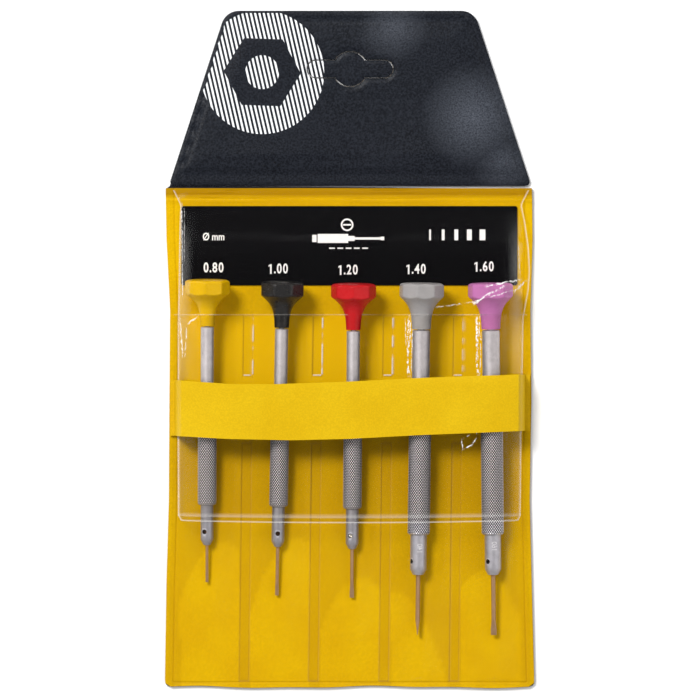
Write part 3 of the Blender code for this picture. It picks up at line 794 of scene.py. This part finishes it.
def body_grid(low_y, high_y, step, fine_y=()):
    """A grid over the body whose columns follow its waisted sides."""
    fine = [(-48.9, 0.6), (49.0, 0.6)]
    for centre in RIB_X:
        fine += [(centre - RIB_HALF, 0.45), (centre + RIB_HALF, 0.45)]
    us = spread_places(-HALF_WIDTH, HALF_WIDTH, step, fine)
    vs = spread_places(low_y, high_y, step, fine_y)
    u, y = np.meshgrid(us, vs)
    left, right = body_edges(y)
    drift = rib_shift(y) * (1 - smooth(30, 46, np.abs(u)))
    x = np.where(u < 0, u * left / -HALF_WIDTH, u * right / HALF_WIDTH)
    blend_in = 1 - smooth(34, 47, np.abs(u))
    x = x * (1 - blend_in) + u * blend_in + drift
    near_low = y - low_y
    corner = 1.4
    cut = corner - np.sqrt(np.maximum(0, corner**2 - np.clip(corner - near_low, 0, corner) ** 2))
    x = x - np.sign(u) * cut * (np.abs(u) / HALF_WIDTH) ** 8
    return x, y


x, y = body_grid(LINER_FOOT, LINER_END, 1.0, [(FOOT_WELD, 0.5), (42.6, 2.6)])
y = y + (foot_wave(x) - 0.15) * (1 - smooth(LINER_FOOT, -90.0, y))
flat, edge = rib_lines(x, y)
groove = border_groove(x, y)
creases = smooth(40.0, 40.8, y) * (0.5 + 0.5 * np.sin(y * 5.2 + 0.6 * np.sin(x / 6)))
liner_top = LINER_HIGH + 0.05 * wobble(x, y, 5, 12) - 0.22 * flat - 0.05 * edge - 0.25 * groove
liner_top = liner_top + 0.25 * creases * (0.6 + 0.4 * np.sin(x / 8.0))
low_face = np.stack([x, y, liner_top - 0.42], axis=2)
# where the film above clings to the liner it looks wetter and brighter, below an arch in each lane; above
# the arches the lanes are coloured darker, partly for film that does not cling and partly as painted shade
# beside the grips
apexes = [(-35.6, -52.8), (-14.7, -52.0), (3.0, -62.5), (12.5, -66.7), (37.0, -61.1)]
dry_look_and_painted_shade = 1 - smooth(-30.0, -20.0, y)
for (px, py), centre in zip(apexes, LANES):
    arch = smooth(0.0, 0.9, py - 0.12 * (x - px) ** 2 - y) * (np.abs(x - centre) < 8.2)
    dry_look_and_painted_shade = dry_look_and_painted_shade * (1 - 0.8 * arch)
# darker lines at the welded seams and grooves, partly real and partly painted shade; a painted shadow across
# the strip below the fold, painted shade in its creases and in the lanes above the arches
weld_and_painted_shade = 0.45 * edge + 0.45 * groove + 0.06 * flat + 1.0 * smooth(42.3, 43.3, y) + 0.3 * creases
weld_and_painted_shade = np.clip(weld_and_painted_shade + 0.32 * dry_look_and_painted_shade, 0, 1)
# painted light: the lanes under the film, from above the band up to the pocket's mouth, are coloured a
# brighter yellow
bright = smooth(-30.0, -8.0, y) * (1 - smooth(9.0, 10.5, y)) * (1 - smooth(44.0, 48.0, np.abs(x)))
liner = thick_grid("yellow_sheet", low_face, 0.42, {"weld_and_painted_shade": weld_and_painted_shade, "bright": bright})
show(liner, yellow, "pouch", ["yellow_liner"])


# ---------------------------------------------------------------- drivers: places
def driver_frame(code):
    """Its head's top, and its across, along and up directions, in millimetres."""
    joint = JOINTS[f"driver_{code}_head_spin"]
    along = Vector(joint["axis"]).normalized()
    across = Vector((along.y, -along.x, 0)).normalized()
    up = across.cross(along)
    return Vector(joint["pos_m"]) / MM, across, along, up


FRAMES = {d["code"]: driver_frame(d["code"]) for d in DRIVERS}


def crown(driver, y):
    """The lowest that a film over this driver can be at places along the pouch."""
    top, _, along, _ = FRAMES[driver["code"]]
    body = driver["body"]
    s = (top.y - y) / along.y
    axis = top.z - s * along.z
    length = body["end"] + driver["blade"]
    at = [0, 24, 27, body["end"] - 11.0, body["end"], length, length + RIDGE_LONG, length + RIDGE_LONG + 2.0]
    over_blade = driver["tip"] + 0.2
    out = [body["tube"]] * 2 + [body["grip"]] * 2 + [body["nose"], over_blade, over_blade, 0]
    radius = np.interp(s, at, out)
    return axis + radius + FILM_GAP, radius


def film_height(x, y):
    """The pocket film's underside: tight over each driver, down to the welded ribs."""
    z = np.full(np.shape(x), FILM_LOW)
    for centre, driver in zip(LANES, DRIVERS):
        top, _, along, _ = FRAMES[driver["code"]]
        high, radius = crown(driver, y)
        length = driver["body"]["end"] + driver["blade"]
        s = (top.y - y) / along.y
        fade = 1 - smooth(length + RIDGE_LONG, length + RIDGE_LONG + 3.0, s)
        axis_x = top.x - s * along.x
        foot = 8.1
        d = x - axis_x
        room = np.where(d > 0, centre + foot - axis_x, axis_x - centre + foot)
        flat_top = 0.3 * radius
        t = np.clip((np.abs(d) - flat_top) / np.maximum(room - flat_top, 0.1), 0, 1)
        arch = 0.5 + 0.5 * np.cos(math.pi * t)
        arch = arch * (1 + 0.05 * wobble(x, y, 21, 6) * np.sin(math.pi * t))
        z = np.maximum(z, FILM_LOW + (high - FILM_LOW) * fade * arch)
    return z


# ---------------------------------------------------------------- pocket film
x, y = body_grid(POCKET_FOOT, POCKET_MOUTH, 0.75, [(FOOT_WELD, 0.4), (9.4, 0.5), (-7.0, 0.4), (-25.9, 0.4)])
x = x * (50.0 / HALF_WIDTH)
flat, edge = rib_lines(x, y)
z = film_height(x, y) - 0.2 * flat
# white on the pocket film: painted highlights along its mouth and along the ribs' edges and ends, partly
# real whitening at the welds
whitening_and_glint = 0.01 * edge + 0.30 * ridge(y, POCKET_MOUTH, 0.3) * (0.5 + 0.5 * wobble(x, y, 31, 2.0))
for centre in RIB_X:
    away = x - centre - rib_shift(y)
    dashes = smooth(0.1, 0.5, wobble(x * 0, y, 33 + int(centre), 0.8) + 0.35)
    whitening_and_glint = whitening_and_glint + 0.55 * ridge(away, RIB_HALF, 0.3) * dashes * ((y > -6.8) & (y < 9.0))
    whitening_and_glint = whitening_and_glint + 0.35 * ridge(y, -7.0, 0.3) * (np.abs(away) < RIB_HALF * 0.8)
whitening_and_glint = np.clip(whitening_and_glint, 0, 1)
pocket = thick_grid("pocket_sheet", np.stack([x, y, z], axis=2), 0.2, {"whitening_and_glint": whitening_and_glint})
show(pocket, pocket_clear, "pouch", ["pocket_film"])


# ---------------------------------------------------------------- clear cover
def highest(y):
    """The highest film over any driver at places along the pouch."""
    return np.max([crown(d, y)[0] for d in DRIVERS], axis=0) + 0.25


def cover_middle(y):
    """The cover's height along its middle, evened out over a few millimetres."""
    ys = [-48, -25.0, -8.0, 2.5, 6.5, 27.5, 30.0, 42.0, 44.0, 46.0]
    low = [highest(np.array(v)) + 0.3 for v in (-48, -25.0, -8.0)]
    zs = [*low, 15.6, 16.3, 16.3, 13.9, 2.3, 1.5, 1.5]
    fine = np.interp(y, ys, zs)
    for far in (0.8, 1.6, 2.4):
        fine = fine + np.interp(y - far, ys, zs) + np.interp(y + far, ys, zs)
    fine = fine / 7
    return np.maximum(fine, np.where(y < -8, highest(y) + 0.3, 0))


def cover_share(x):
    """How much of its middle's height the cover keeps at a place across it."""
    return 1 - 0.8 * np.clip((np.abs(x) - 42.0) / 5.6, 0, 1) ** 2


def cover_edges(y):
    ys = [-47.5, -46.0, -25, 8, 16.4, 22, 28.9, 36, 40.2, 44.4]
    left = [-46.6, -47.6, -47.7, -47.6, -47.4, -47.3, -47.2, -47.1, -47.0, -49.2]
    right = [46.4, 47.2, 47.4, 48.0, 49.6, 50.0, 49.6, 48.6, 47.6, 49.8]
    return np.interp(y, ys, left), np.interp(y, ys, right)


vs = spread_places(COVER_FREE, COVER_WELD, 0.8, [(-46.6, 0.6), (43.6, 0.6)])
side = np.linspace(0.85, 1, 14)
us = np.concatenate([-side[::-1], np.linspace(-0.84, 0.84, 100), side])
u, y = np.meshgrid(us, vs)
left, right = cover_edges(y)
x = np.where(u < 0, -u * left, u * right)
bow = 1.0 * (1 - (x / 47.0) ** 2) * (1 - smooth(COVER_FREE, -42.0, y))
y = y - bow * 0.6
z = LINER_HIGH + 0.35 + (cover_middle(y) - LINER_HIGH - 0.35) * cover_share(x)
ripples = 0.22 * wobble(x, y, 41, 4.5) * (1 - smooth(-30, -24, y))
ripples = ripples + 0.35 * (wobble(x, y, 42, 5) + 1.0) * smooth(8, 14, y) * (1 - smooth(26, 33, y))
z = z + np.maximum(ripples, 0)
# painted highlights along the cover's edges, and a faint white band near its free end
edge_glint = np.maximum(ridge(np.abs(u), 1.0, 0.008), ridge(vs[:, None] + 0 * x, COVER_FREE, 0.5))
streaks = ridge(vs[:, None] + 0 * x, -45.9, 0.35) * 0.10
whitening_and_glint = np.clip(0.22 * edge_glint + streaks, 0, 1)
cover = thick_grid("cover_sheet", np.stack([x, y, z], axis=2), 0.22, {"whitening_and_glint": whitening_and_glint})
show(cover, cover_clear, None, ["clear_cover"])
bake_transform(cover)


# ---------------------------------------------------------------- retaining band
def band_height(x, y):
    """The band's underside: over the handles, and down to its welds at the sides."""
    peak = highest(y) + 1.1
    share = 1 - 0.12 * np.clip((np.abs(x) - 30) / 16, 0, 1.2) ** 2
    share = share * (1 - smooth(46.4, 48.5, np.abs(x)))
    return 1.8 + (peak - 1.8) * share


us = spread_places(-50.0, 50.0, 1.2, [(-47.5, 1.5), (47.5, 1.5)])
u, v = np.meshgrid(us, np.linspace(0, 1, 15))
top_y = np.interp(u, [-48.3, -33, -20, 0, 18.3, 48], [-8.35, -9.4, -9.4, -8.7, -7.8, -6.8])
low_y = np.interp(u, [-48.3, -34.4, -16.7, 0, 18.3, 48.3], [-23.8, -24.6, -25.0, -24.6, -23.6, -22.4])
y = low_y + (top_y - low_y) * v
z = band_height(u, y)
band = thick_grid("band_sheet", np.stack([u, y, z], axis=2), 0.5)
show(band, band_yellow, "pouch", ["retaining_band"])


# ---------------------------------------------------------------- label card
card_finish = Finish("label_card", (0.004, 0.004, 0.005), 0.4, specular=0.02)
fibres = card_finish.noise(0.5, 3, 0.6)
tone = card_finish.two_tones(fibres, 0.3, 0.7, (0.0022, 0.0022, 0.0028), (0.0038, 0.0038, 0.0046))
card_finish.set(Base_Color=tone, Normal=card_finish.bump(fibres, 0.01, 0.4))
card_finish.set(Roughness=card_finish.span(card_finish.noise(9, 2), 0.3, 0.7, 0.26, 0.38))
ink_finish = Finish("white_ink", (0.80, 0.80, 0.80), 0.5)
ink_spots = ink_finish.noise(0.25, 2, 0.5)
ink_tone = ink_finish.two_tones(ink_spots, 0.3, 0.7, (0.74, 0.74, 0.74), (0.86, 0.86, 0.86))
ink_finish.set(Base_Color=ink_tone)

card_corners = [
    (CARD_LEFT, CARD_LOW, 0.6),
    (CARD_RIGHT, CARD_LOW, 0.6),
    (CARD_RIGHT, CARD_HIGH, 0.6),
    (CARD_LEFT, CARD_HIGH, 0.6),
]
card_loop = divided(rounded(card_corners, 4), 2.0)


def card_lift(x, y):
    """The card's slight waviness."""
    return 0.04 * wobble(x, y, 51, 16)


card = plate(
    "size_card",
    card_loop,
    [],
    2.5,
    lambda x, y: FILM_LOW + card_lift(x, y),
    lambda x, y: FILM_LOW + 0.3 + card_lift(x, y),
)
show(card, card_finish, "pouch", ["label_card"])


def lettering(text, height, narrow, weight):
    """The places and faces of printed words, flat and centred, in millimetres."""
    curve = bpy.data.curves.new("words", "FONT")
    curve.body = text
    curve.size = height
    curve.align_x, curve.align_y = "CENTER", "CENTER"
    curve.offset = weight
    curve.resolution_u = 5
    temporary = bpy.data.objects.new("words", curve)
    bpy.context.scene.collection.objects.link(temporary)
    mesh = bpy.data.meshes.new_from_object(temporary)
    places = np.array([(v.co.x * narrow, v.co.y, v.co.z) for v in mesh.vertices])
    faces = [list(p.vertices) for p in mesh.polygons]
    bpy.data.objects.remove(temporary)
    bpy.data.curves.remove(curve)
    bpy.data.meshes.remove(mesh)
    return places, faces


# a numeral one with a flag, and where a size's digit, point, digit and digit stand
MARK_PLACES = (-2.1, -0.88, 0.34, 2.06)
ONE = [(-0.12, -1.34), (0.33, -1.34), (0.33, 1.34), (0, 1.34), (-0.55, 1), (-0.55, 0.62), (-0.12, 0.82)]
ink_places, ink_faces = [], []


def print_on_card(places, faces, x, y):
    start = len(ink_places)
    for p in places:
        px, py = p[0] + x, p[1] + y
        ink_places.append((px, py, FILM_LOW + 0.33 + float(card_lift(px, py))))
    ink_faces.extend([[k + start for k in face] for face in faces])


for text, px, py in (
    ("0.80", -37.9, 22.8),
    ("1.00", -20.0, 22.5),
    ("1.20", -0.6, 22.2),
    ("1.40", 18.3, 22.4),
    ("1.60", 37.2, 23.1),
):
    for mark, shift in zip(text, MARK_PLACES):
        if mark == "1":
            print_on_card(ONE, [list(range(len(ONE)))], px + shift, py)
        else:
            print_on_card(*lettering(mark, 3.75, 0.74, 0.085), px + shift, py)
print_on_card(*lettering("Ø mm", 2.9, 0.80, 0.05), -37.9, 31.4)


def ring(radius, inner, steps=36):
    """The places and faces of a flat ring."""
    turns = [2 * math.pi * k / steps for k in range(steps)]
    places = [(r * math.cos(a), r * math.sin(a), 0) for a in turns for r in (radius, inner)]
    pairs = [(2 * k, 2 * ((k + 1) % steps)) for k in range(steps)]
    return places, [[a, b, b + 1, a + 1] for a, b in pairs]


def bars(rows):
    """The places and faces of flat bars."""
    places = []
    for low_x, high_x, low_y, high_y in rows:
        places += [(low_x, low_y, 0), (high_x, low_y, 0), (high_x, high_y, 0), (low_x, high_y, 0)]
    return places, [list(range(k, k + 4)) for k in range(0, len(places), 4)]


print_on_card(*ring(1.75, 1.3), -0.8, 34.8)
print_on_card(*bars([(-1.1, 1.1, -0.22, 0.22)]), -0.8, 34.8)
# a small screwdriver from its head to its tip: where each part starts and stops, and half its width
DRIVER_SIGN = [(-9.8, -8.6, 1.0), (-8.3, 0.2, 1.25), (0.2, 2.0, 0.7), (2.0, 9.2, 0.32), (9.2, 10.2, 0.5)]
print_on_card(*bars([(low, high, -half, half) for low, high, half in DRIVER_SIGN]), -0.7, 31.0)
dashes = [(-5.6 + k * 2.3, -4.0 + k * 2.3, -0.18, 0.18) for k in range(5)]
print_on_card(*bars(dashes), -0.2, 28.3)
widening = [(-7.5 + k * 3.5, -7.0 + k * 3.78, -1.5, 1.5) for k in range(5)]
print_on_card(*bars(widening), 29.5, 32.0)
ink = make_mesh("card_print", ink_places, ink_faces)
show(ink, ink_finish, "pouch")


# ---------------------------------------------------------------- drivers: shapes
def to_row(code, places):
    """Places in a driver's own frame (across, along, up) to the row frame."""
    top, across, along, up = FRAMES[code]
    return np.array(top) + np.asarray(places, float) @ np.array([across, along, up])


def turned_faces(count, around):
    """Faces of a closed round shape: its rings, and a fan round a middle point at each end."""
    faces = []
    for i in range(count - 1):
        for j in range(around):
            k = (j + 1) % around
            faces.append([i * around + j, i * around + k, (i + 1) * around + k, (i + 1) * around + j])
    first, last = count * around, (count - 1) * around
    faces += [[first, (j + 1) % around, j] for j in range(around)]
    faces += [[first + 1, last + j, last + (j + 1) % around] for j in range(around)]
    return faces


def turned_verts(grid):
    """The places of the rings, and the two middle points that close them."""
    ends = [(0, grid[0, 0, 1], 0), (0, grid[-1, 0, 1], 0)]
    return list(grid.reshape(-1, 3)) + ends


def lathe(name, code, rows, angles, reach, turn=0.0, shades=None):
    """A turned shape: reach(s, angle) is its radius at depth s below the head's top."""
    s, a = np.meshgrid(np.asarray(rows, float), angles, indexing="ij")
    r = reach(s, a)
    b = a + math.radians(turn)
    grid = np.stack([r * np.cos(b), -s, r * np.sin(b)], axis=2)
    given = {k: np.concatenate([value(s, a).ravel(), [0, 0]]) for k, value in (shades or {}).items()}
    faces = turned_faces(*grid.shape[:2])
    return make_mesh(name, to_row(code, turned_verts(grid)), faces, given, angle=38)


def circle(count):
    return np.arange(count) * 2 * math.pi / count


def profile_reach(points):
    at = [p[0] for p in points]
    out = [p[1] for p in points]
    return lambda s, a: np.interp(s, at, out)


def head_shape(driver):
    body, code = driver["body"], driver["code"]
    neck, flare = body["neck"], HEAD_LONG - HEAD_FACET
    points = [(0.0, 5.3), (0.1, 5.75), (0.45, 6.2), (0.75, HEAD_RIM), (HEAD_FACET, HEAD_RIM)]
    for t in np.linspace(0, 1, 26)[1:]:
        points.append((HEAD_FACET + t * flare, neck + (HEAD_RIM - neck) * math.exp(-4.7 * t ** 1.2)))
    points[-1] = (HEAD_LONG, neck)
    base = profile_reach(points)
    step = math.pi / 4

    def reach(s, a):
        r = base(s, a)
        off = (a % step) - step / 2
        limit = HEAD_FLAT / np.cos(off) - 0.5 * (1 - smooth(0.0, 0.5, s))
        return r - np.logaddexp(0, (r - limit) / 0.05) * 0.05

    facet_rows = [0.0, 0.1, 0.3, 0.5, 0.75, 1.5, 2.5, 3.2]
    flare_rows = [*np.linspace(HEAD_FACET, 5.6, 12), *np.linspace(6.0, 12.4, 14), 12.6, HEAD_LONG]
    rows = facet_rows + flare_rows
    made = lathe(f"driver_{code}_swivel_head", code, rows, circle(96), reach, turn=driver["head_turn"])
    colour = HEAD_COLOURS[code]
    finish = Finish(f"head_plastic_{code}", colour, 0.3, specular=0.4 if code == "100" else 0.16)
    fine = finish.noise(0.6, 3, 0.6)
    darker = tuple(c * 0.9 for c in colour)
    finish.set(Base_Color=finish.two_tones(finish.noise(4, 2), 0.35, 0.65, colour, darker))
    finish.set(Roughness=finish.span(fine, 0.3, 0.7, 0.24, 0.38), Normal=finish.bump(fine, 0.012, 0.5))
    show(made, finish, f"driver_{code}_swivel", [f"driver_{code}_head"])


def knurled(finish):
    """Painted highlights on the diamonds and painted shade in the grooves between them, where the grip is.
    """
    turn, run = finish.shade("knurl_turn"), finish.shade("knurl_run")
    peak = None
    for way in ("ADD", "SUBTRACT"):
        share = finish.math("FRACT", finish.plus(finish.math(way, turn, run), 200.0))
        rise = finish.math("ABSOLUTE", finish.minus(finish.times(share, 2.0), 1.0))
        rise = finish.minus(1.0, rise)
        peak = rise if peak is None else finish.math("MINIMUM", peak, rise)
    return peak


steel = satin_metal("handle_steel", (0.69, 0.675, 0.735), 0.46, (1, 0.05, 1), metallic=0.7)
toned = steel.mix(steel.shade("shade"), steel.tone(), (0.11, 0.105, 0.12))
# painted highlights on the knurl's diamonds, painted shade in its grooves
cut = steel.two_tones(knurled(steel), 0.30, 0.62, (0.022, 0.021, 0.028), (0.95, 0.93, 1.0))
steel.set(Base_Color=steel.mix(steel.shade("grip"), toned, cut))
# painted shade: the insides of the drilled holes are coloured near black
painted_hole_dark = Finish("painted_shade_in_holes", (0.03, 0.03, 0.03), 0.6)


def handle_shape(driver):
    """The turned handle: plain tube, knurled grip, satin nose, drilled for the blade."""
    body, code = driver["body"], driver["code"]
    tube, grip, nose, end = body["tube"], body["grip"], body["nose"], body["end"]
    grip_end = end - NOSE_LONG
    around = body["around"]
    first, last = GRIP_START + 0.5, grip_end - 0.5

    def knurl_turn(s, a):
        return a * around / (2 * math.pi)

    def knurl_run(s, a):
        return (s - first) / KNURL_TALL

    def knurl(s, a):
        p, q = knurl_turn(s, a), knurl_run(s, a)
        one = 1 - np.abs(2 * ((p + q) % 1) - 1)
        two = 1 - np.abs(2 * ((p - q) % 1) - 1)
        on = (s > first - 0.01) & (s < last + 0.01)
        return np.where(on, 1 - np.minimum(one, two), 0)

    shades = {
        "shade": lambda s, a: (0.60 if body is SLIM else 0.42) * smooth(grip_end - 0.2, grip_end, s),
        "grip": lambda s, a: smooth(first - 0.2, first, s) * (1 - smooth(last, last + 0.2, s)),
        "knurl_turn": knurl_turn,
        "knurl_run": knurl_run,
    }

    outline = [
        (TUBE_START, tube - 0.2),
        (TUBE_START + 0.2, tube),
        (GRIP_START - 0.05, tube),
        (GRIP_START, grip - 0.35),
        (GRIP_START + 0.45, grip),
        (grip_end - 0.45, grip),
        (grip_end - 0.02, grip - 0.35),
        (grip_end, nose),
        (end - 1.5, nose),
        (end, nose - 0.8),
    ]
    turned = profile_reach(outline)
    rows = [
        *[TUBE_START, TUBE_START + 0.06, TUBE_START + 0.2, 20, 28],
        *[GRIP_START - 0.1, GRIP_START - 0.05, GRIP_START, GRIP_START + 0.45],
        *np.arange(first, last, KNURL_TALL / 4)[1:],
        *[grip_end - 0.45, grip_end - 0.02, grip_end],
        *np.linspace(grip_end + 0.4, end - 1.5, 12),
        *[end - 1.0, end - 0.5, end],
    ]

    def reach(s, a):
        return turned(s, a) - KNURL_DEEP * knurl(s, a)

    name = f"driver_{code}_knurled_handle"
    made = lathe(name, code, rows, circle(around * 4), reach, turn=-90, shades=shades)
    made.data.materials.append(steel.material)
    made.data.materials.append(painted_hole_dark.material)
    joint = JOINTS[f"driver_{code}_screw_turn"]
    axis = Vector(joint["axis"]).normalized()
    top, _, along, _ = FRAMES[code]
    screw_hole = (0.68, nose * 2, Vector(joint["pos_m"]) + axis * nose * MM, axis)
    blade_bore = (driver["shaft"] + 0.06, 20.0, (top - along * end) * MM, along)
    for radius, depth, place, way in (screw_hole, blade_bore):
        bpy.ops.mesh.primitive_cylinder_add(vertices=32, radius=radius * MM, depth=depth * MM)
        cutter = bpy.context.object
        spin = way.to_track_quat("Z", "Y").to_matrix().to_4x4()
        cutter.matrix_world = Matrix.Translation(place) @ spin
        cutter.data.materials.append(painted_hole_dark.material)
        modifier = made.modifiers.new("hole", "BOOLEAN")
        modifier.solver = "EXACT"
        modifier.operation = "DIFFERENCE"
        modifier.object = cutter
        bpy.context.view_layer.update()
        baked = bpy.data.meshes.new_from_object(made.evaluated_get(bpy.context.evaluated_depsgraph_get()))
        made.modifiers.clear()
        made.data = baked
        bpy.data.objects.remove(cutter)
    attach(made, f"driver_{code}")
    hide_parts(f"driver_{code}_handle")


screw_steel = satin_metal("screw_steel", (0.10, 0.06, 0.045), 0.3, (1, 1, 1))
bright_steel = satin_metal("screw_bright", (0.62, 0.58, 0.52), 0.25, (1, 1, 1))


def screw_shape(driver):
    """The slotted grub screw, with a small chamfer."""
    code, nose = driver["code"], driver["body"]["nose"]
    joint = JOINTS[f"driver_{code}_screw_turn"]
    centre = Vector(joint["pos_m"]) / MM
    axis = Vector(joint["axis"]).normalized()
    _, _, along, _ = FRAMES[code]
    side = axis.cross(along).normalized()
    high = nose - (0.12 if code == "120" else 0.6)
    low = driver["shaft"] + 0.06
    slot, deep, radius = 0.13, 0.35, 0.6
    edge = math.asin(slot / radius)
    verts, faces = [], []
    steps = 14
    n = steps + 1
    # two half discs with the slot between them, on a round stem
    for sign in (1, -1):
        start = len(verts)
        for z, r in ((high - deep, radius), (high - 0.1, radius), (high, radius - 0.1)):
            for k in range(steps + 1):
                a = edge + (math.pi - 2 * edge) * k / steps
                verts.append((r * math.cos(a), sign * max(slot, r * math.sin(a)), z))
        half = []
        for row in (start, start + n):
            half += [[row + k, row + k + n, row + k + n + 1, row + k + 1] for k in range(steps)]
            half.append([row, row + steps, row + steps + n, row + n])
        half.append([start + 2 * n + k for k in range(n)][::-1])
        half.append([start + k for k in range(n)])
        faces += [face[::sign] for face in half]
    start = len(verts)
    for z in (low, high - deep + 0.01):
        for k in range(2 * steps):
            a = math.pi * k / steps
            verts.append((radius * math.cos(a), radius * math.sin(a), z))
    n = 2 * steps
    for k in range(n):
        on = (k + 1) % n
        faces.append([start + k, start + on, start + n + on, start + n + k])
    faces.append([start + k for k in range(n)][::-1])
    faces.append([start + n + k for k in range(n)])
    lean = math.radians(driver["slot"])
    placed = []
    for px, py, pz in verts:
        qx = px * math.cos(lean) - py * math.sin(lean)
        qy = px * math.sin(lean) + py * math.cos(lean)
        placed.append(tuple(centre + side * qx + along * qy + axis * pz))
    made = make_mesh(f"driver_{code}_clamp_screw", placed, faces, angle=30)
    finish = bright_steel if code == "120" else screw_steel
    show(made, finish, f"driver_{code}_clamp", [f"driver_{code}_grub_screw"])


blade_steel = satin_metal("blade_steel", (0.42, 0.255, 0.14), 0.42, (1, 1, 0.08), 0.08, 0.7)


def blade_shape(driver):
    """The round shank, with its end spread and ground to a flat edge."""
    body, code = driver["body"], driver["code"]
    end, shaft, tip = body["end"], driver["shaft"], driver["tip"]
    length = end + driver["blade"]
    ground = length - 3.8
    shank_rows = [end - 9.2, end - 9.0, end, end + 2, *np.linspace(end + 3, ground, 5)]
    rows = [*shank_rows, *np.linspace(ground + 0.3, length - 0.05, 12), length]
    s, a = np.meshgrid(rows, circle(32), indexing="ij")
    share = np.clip((s - ground) / (length - ground), 0, 1)
    wide = shaft + (tip - shaft) * np.clip(share * 1.8, 0, 1)
    thick = shaft * (1 - 0.82 * share ** 0.75)
    power = 2 + 6 * share
    c, w = np.cos(a), np.sin(a)
    px = wide * np.sign(c) * np.abs(c) ** (2 / power)
    pz = thick * np.sign(w) * np.abs(w) ** (2 / power)
    start = (s < end - 9.1) * 0.1
    px, pz = px * (1 - start), pz * (1 - start)
    turn = math.radians(driver["turn"])
    qx = px * math.cos(turn) + pz * math.sin(turn)
    qz = -px * math.sin(turn) + pz * math.cos(turn)
    grid = np.stack([qx, -s, qz], axis=2)
    faces = turned_faces(*grid.shape[:2])
    made = make_mesh(f"driver_{code}_ground_blade", to_row(code, turned_verts(grid)), faces, angle=32)
    show(made, blade_steel, f"driver_{code}_bit", [f"driver_{code}_blade"])


engraved = Finish("engraving_shade", (0.66, 0.65, 0.68), 0.6)
engraved_spots = engraved.noise(0.2, 2, 0.5)
engraved.set(Base_Color=engraved.mix(engraved_spots, (0.58, 0.57, 0.60), (0.72, 0.71, 0.74)))


def engraving(driver, text, start, size):
    """A size number marked along the nose, wrapped round it and seen from above."""
    code, nose = driver["code"], driver["body"]["nose"]
    places, faces = lettering(text, size, 0.9, 0.01)
    wrapped = []
    for px, py, _ in places:
        around = py / nose + 0.12
        r = nose + 0.15
        wrapped.append((r * math.sin(around), -(start - px), r * math.cos(around)))
    made = make_mesh(f"driver_{code}_size_mark", to_row(code, wrapped), faces)
    show(made, engraved, f"driver_{code}")


for row in DRIVERS:
    head_shape(row)
    handle_shape(row)
    screw_shape(row)
    blade_shape(row)
engraving(DRIVERS[3], "140", 73.6, 2.0)
engraving(DRIVERS[4], "160", 73.0, 2.0)

# ---------------------------------------------------------------- nodes kept as they are
board = Finish("board_fibre", (0.32, 0.28, 0.22), 0.85)
fibre = board.noise(0.6, 4, 0.7)
board.set(Base_Color=board.mix(fibre, (0.26, 0.22, 0.17), (0.38, 0.33, 0.26)))
board.set(Normal=board.bump(fibre, 0.05, 0.6))
spindle_finish = satin_metal("spindle_finish", (0.55, 0.55, 0.56), 0.25, (1, 0.05, 1))
brass_finish = satin_metal("bush_finish", (0.70, 0.50, 0.20), 0.32, (1, 0.05, 1))
for name, node in frame["nodes"].items():
    if name == "header_stiffener":
        finish = board
    elif name.endswith("_spindle"):
        finish = spindle_finish
    elif name.endswith("_bush"):
        finish = brass_finish
    else:
        continue
    node.data.materials.clear()
    node.data.materials.append(finish.material)
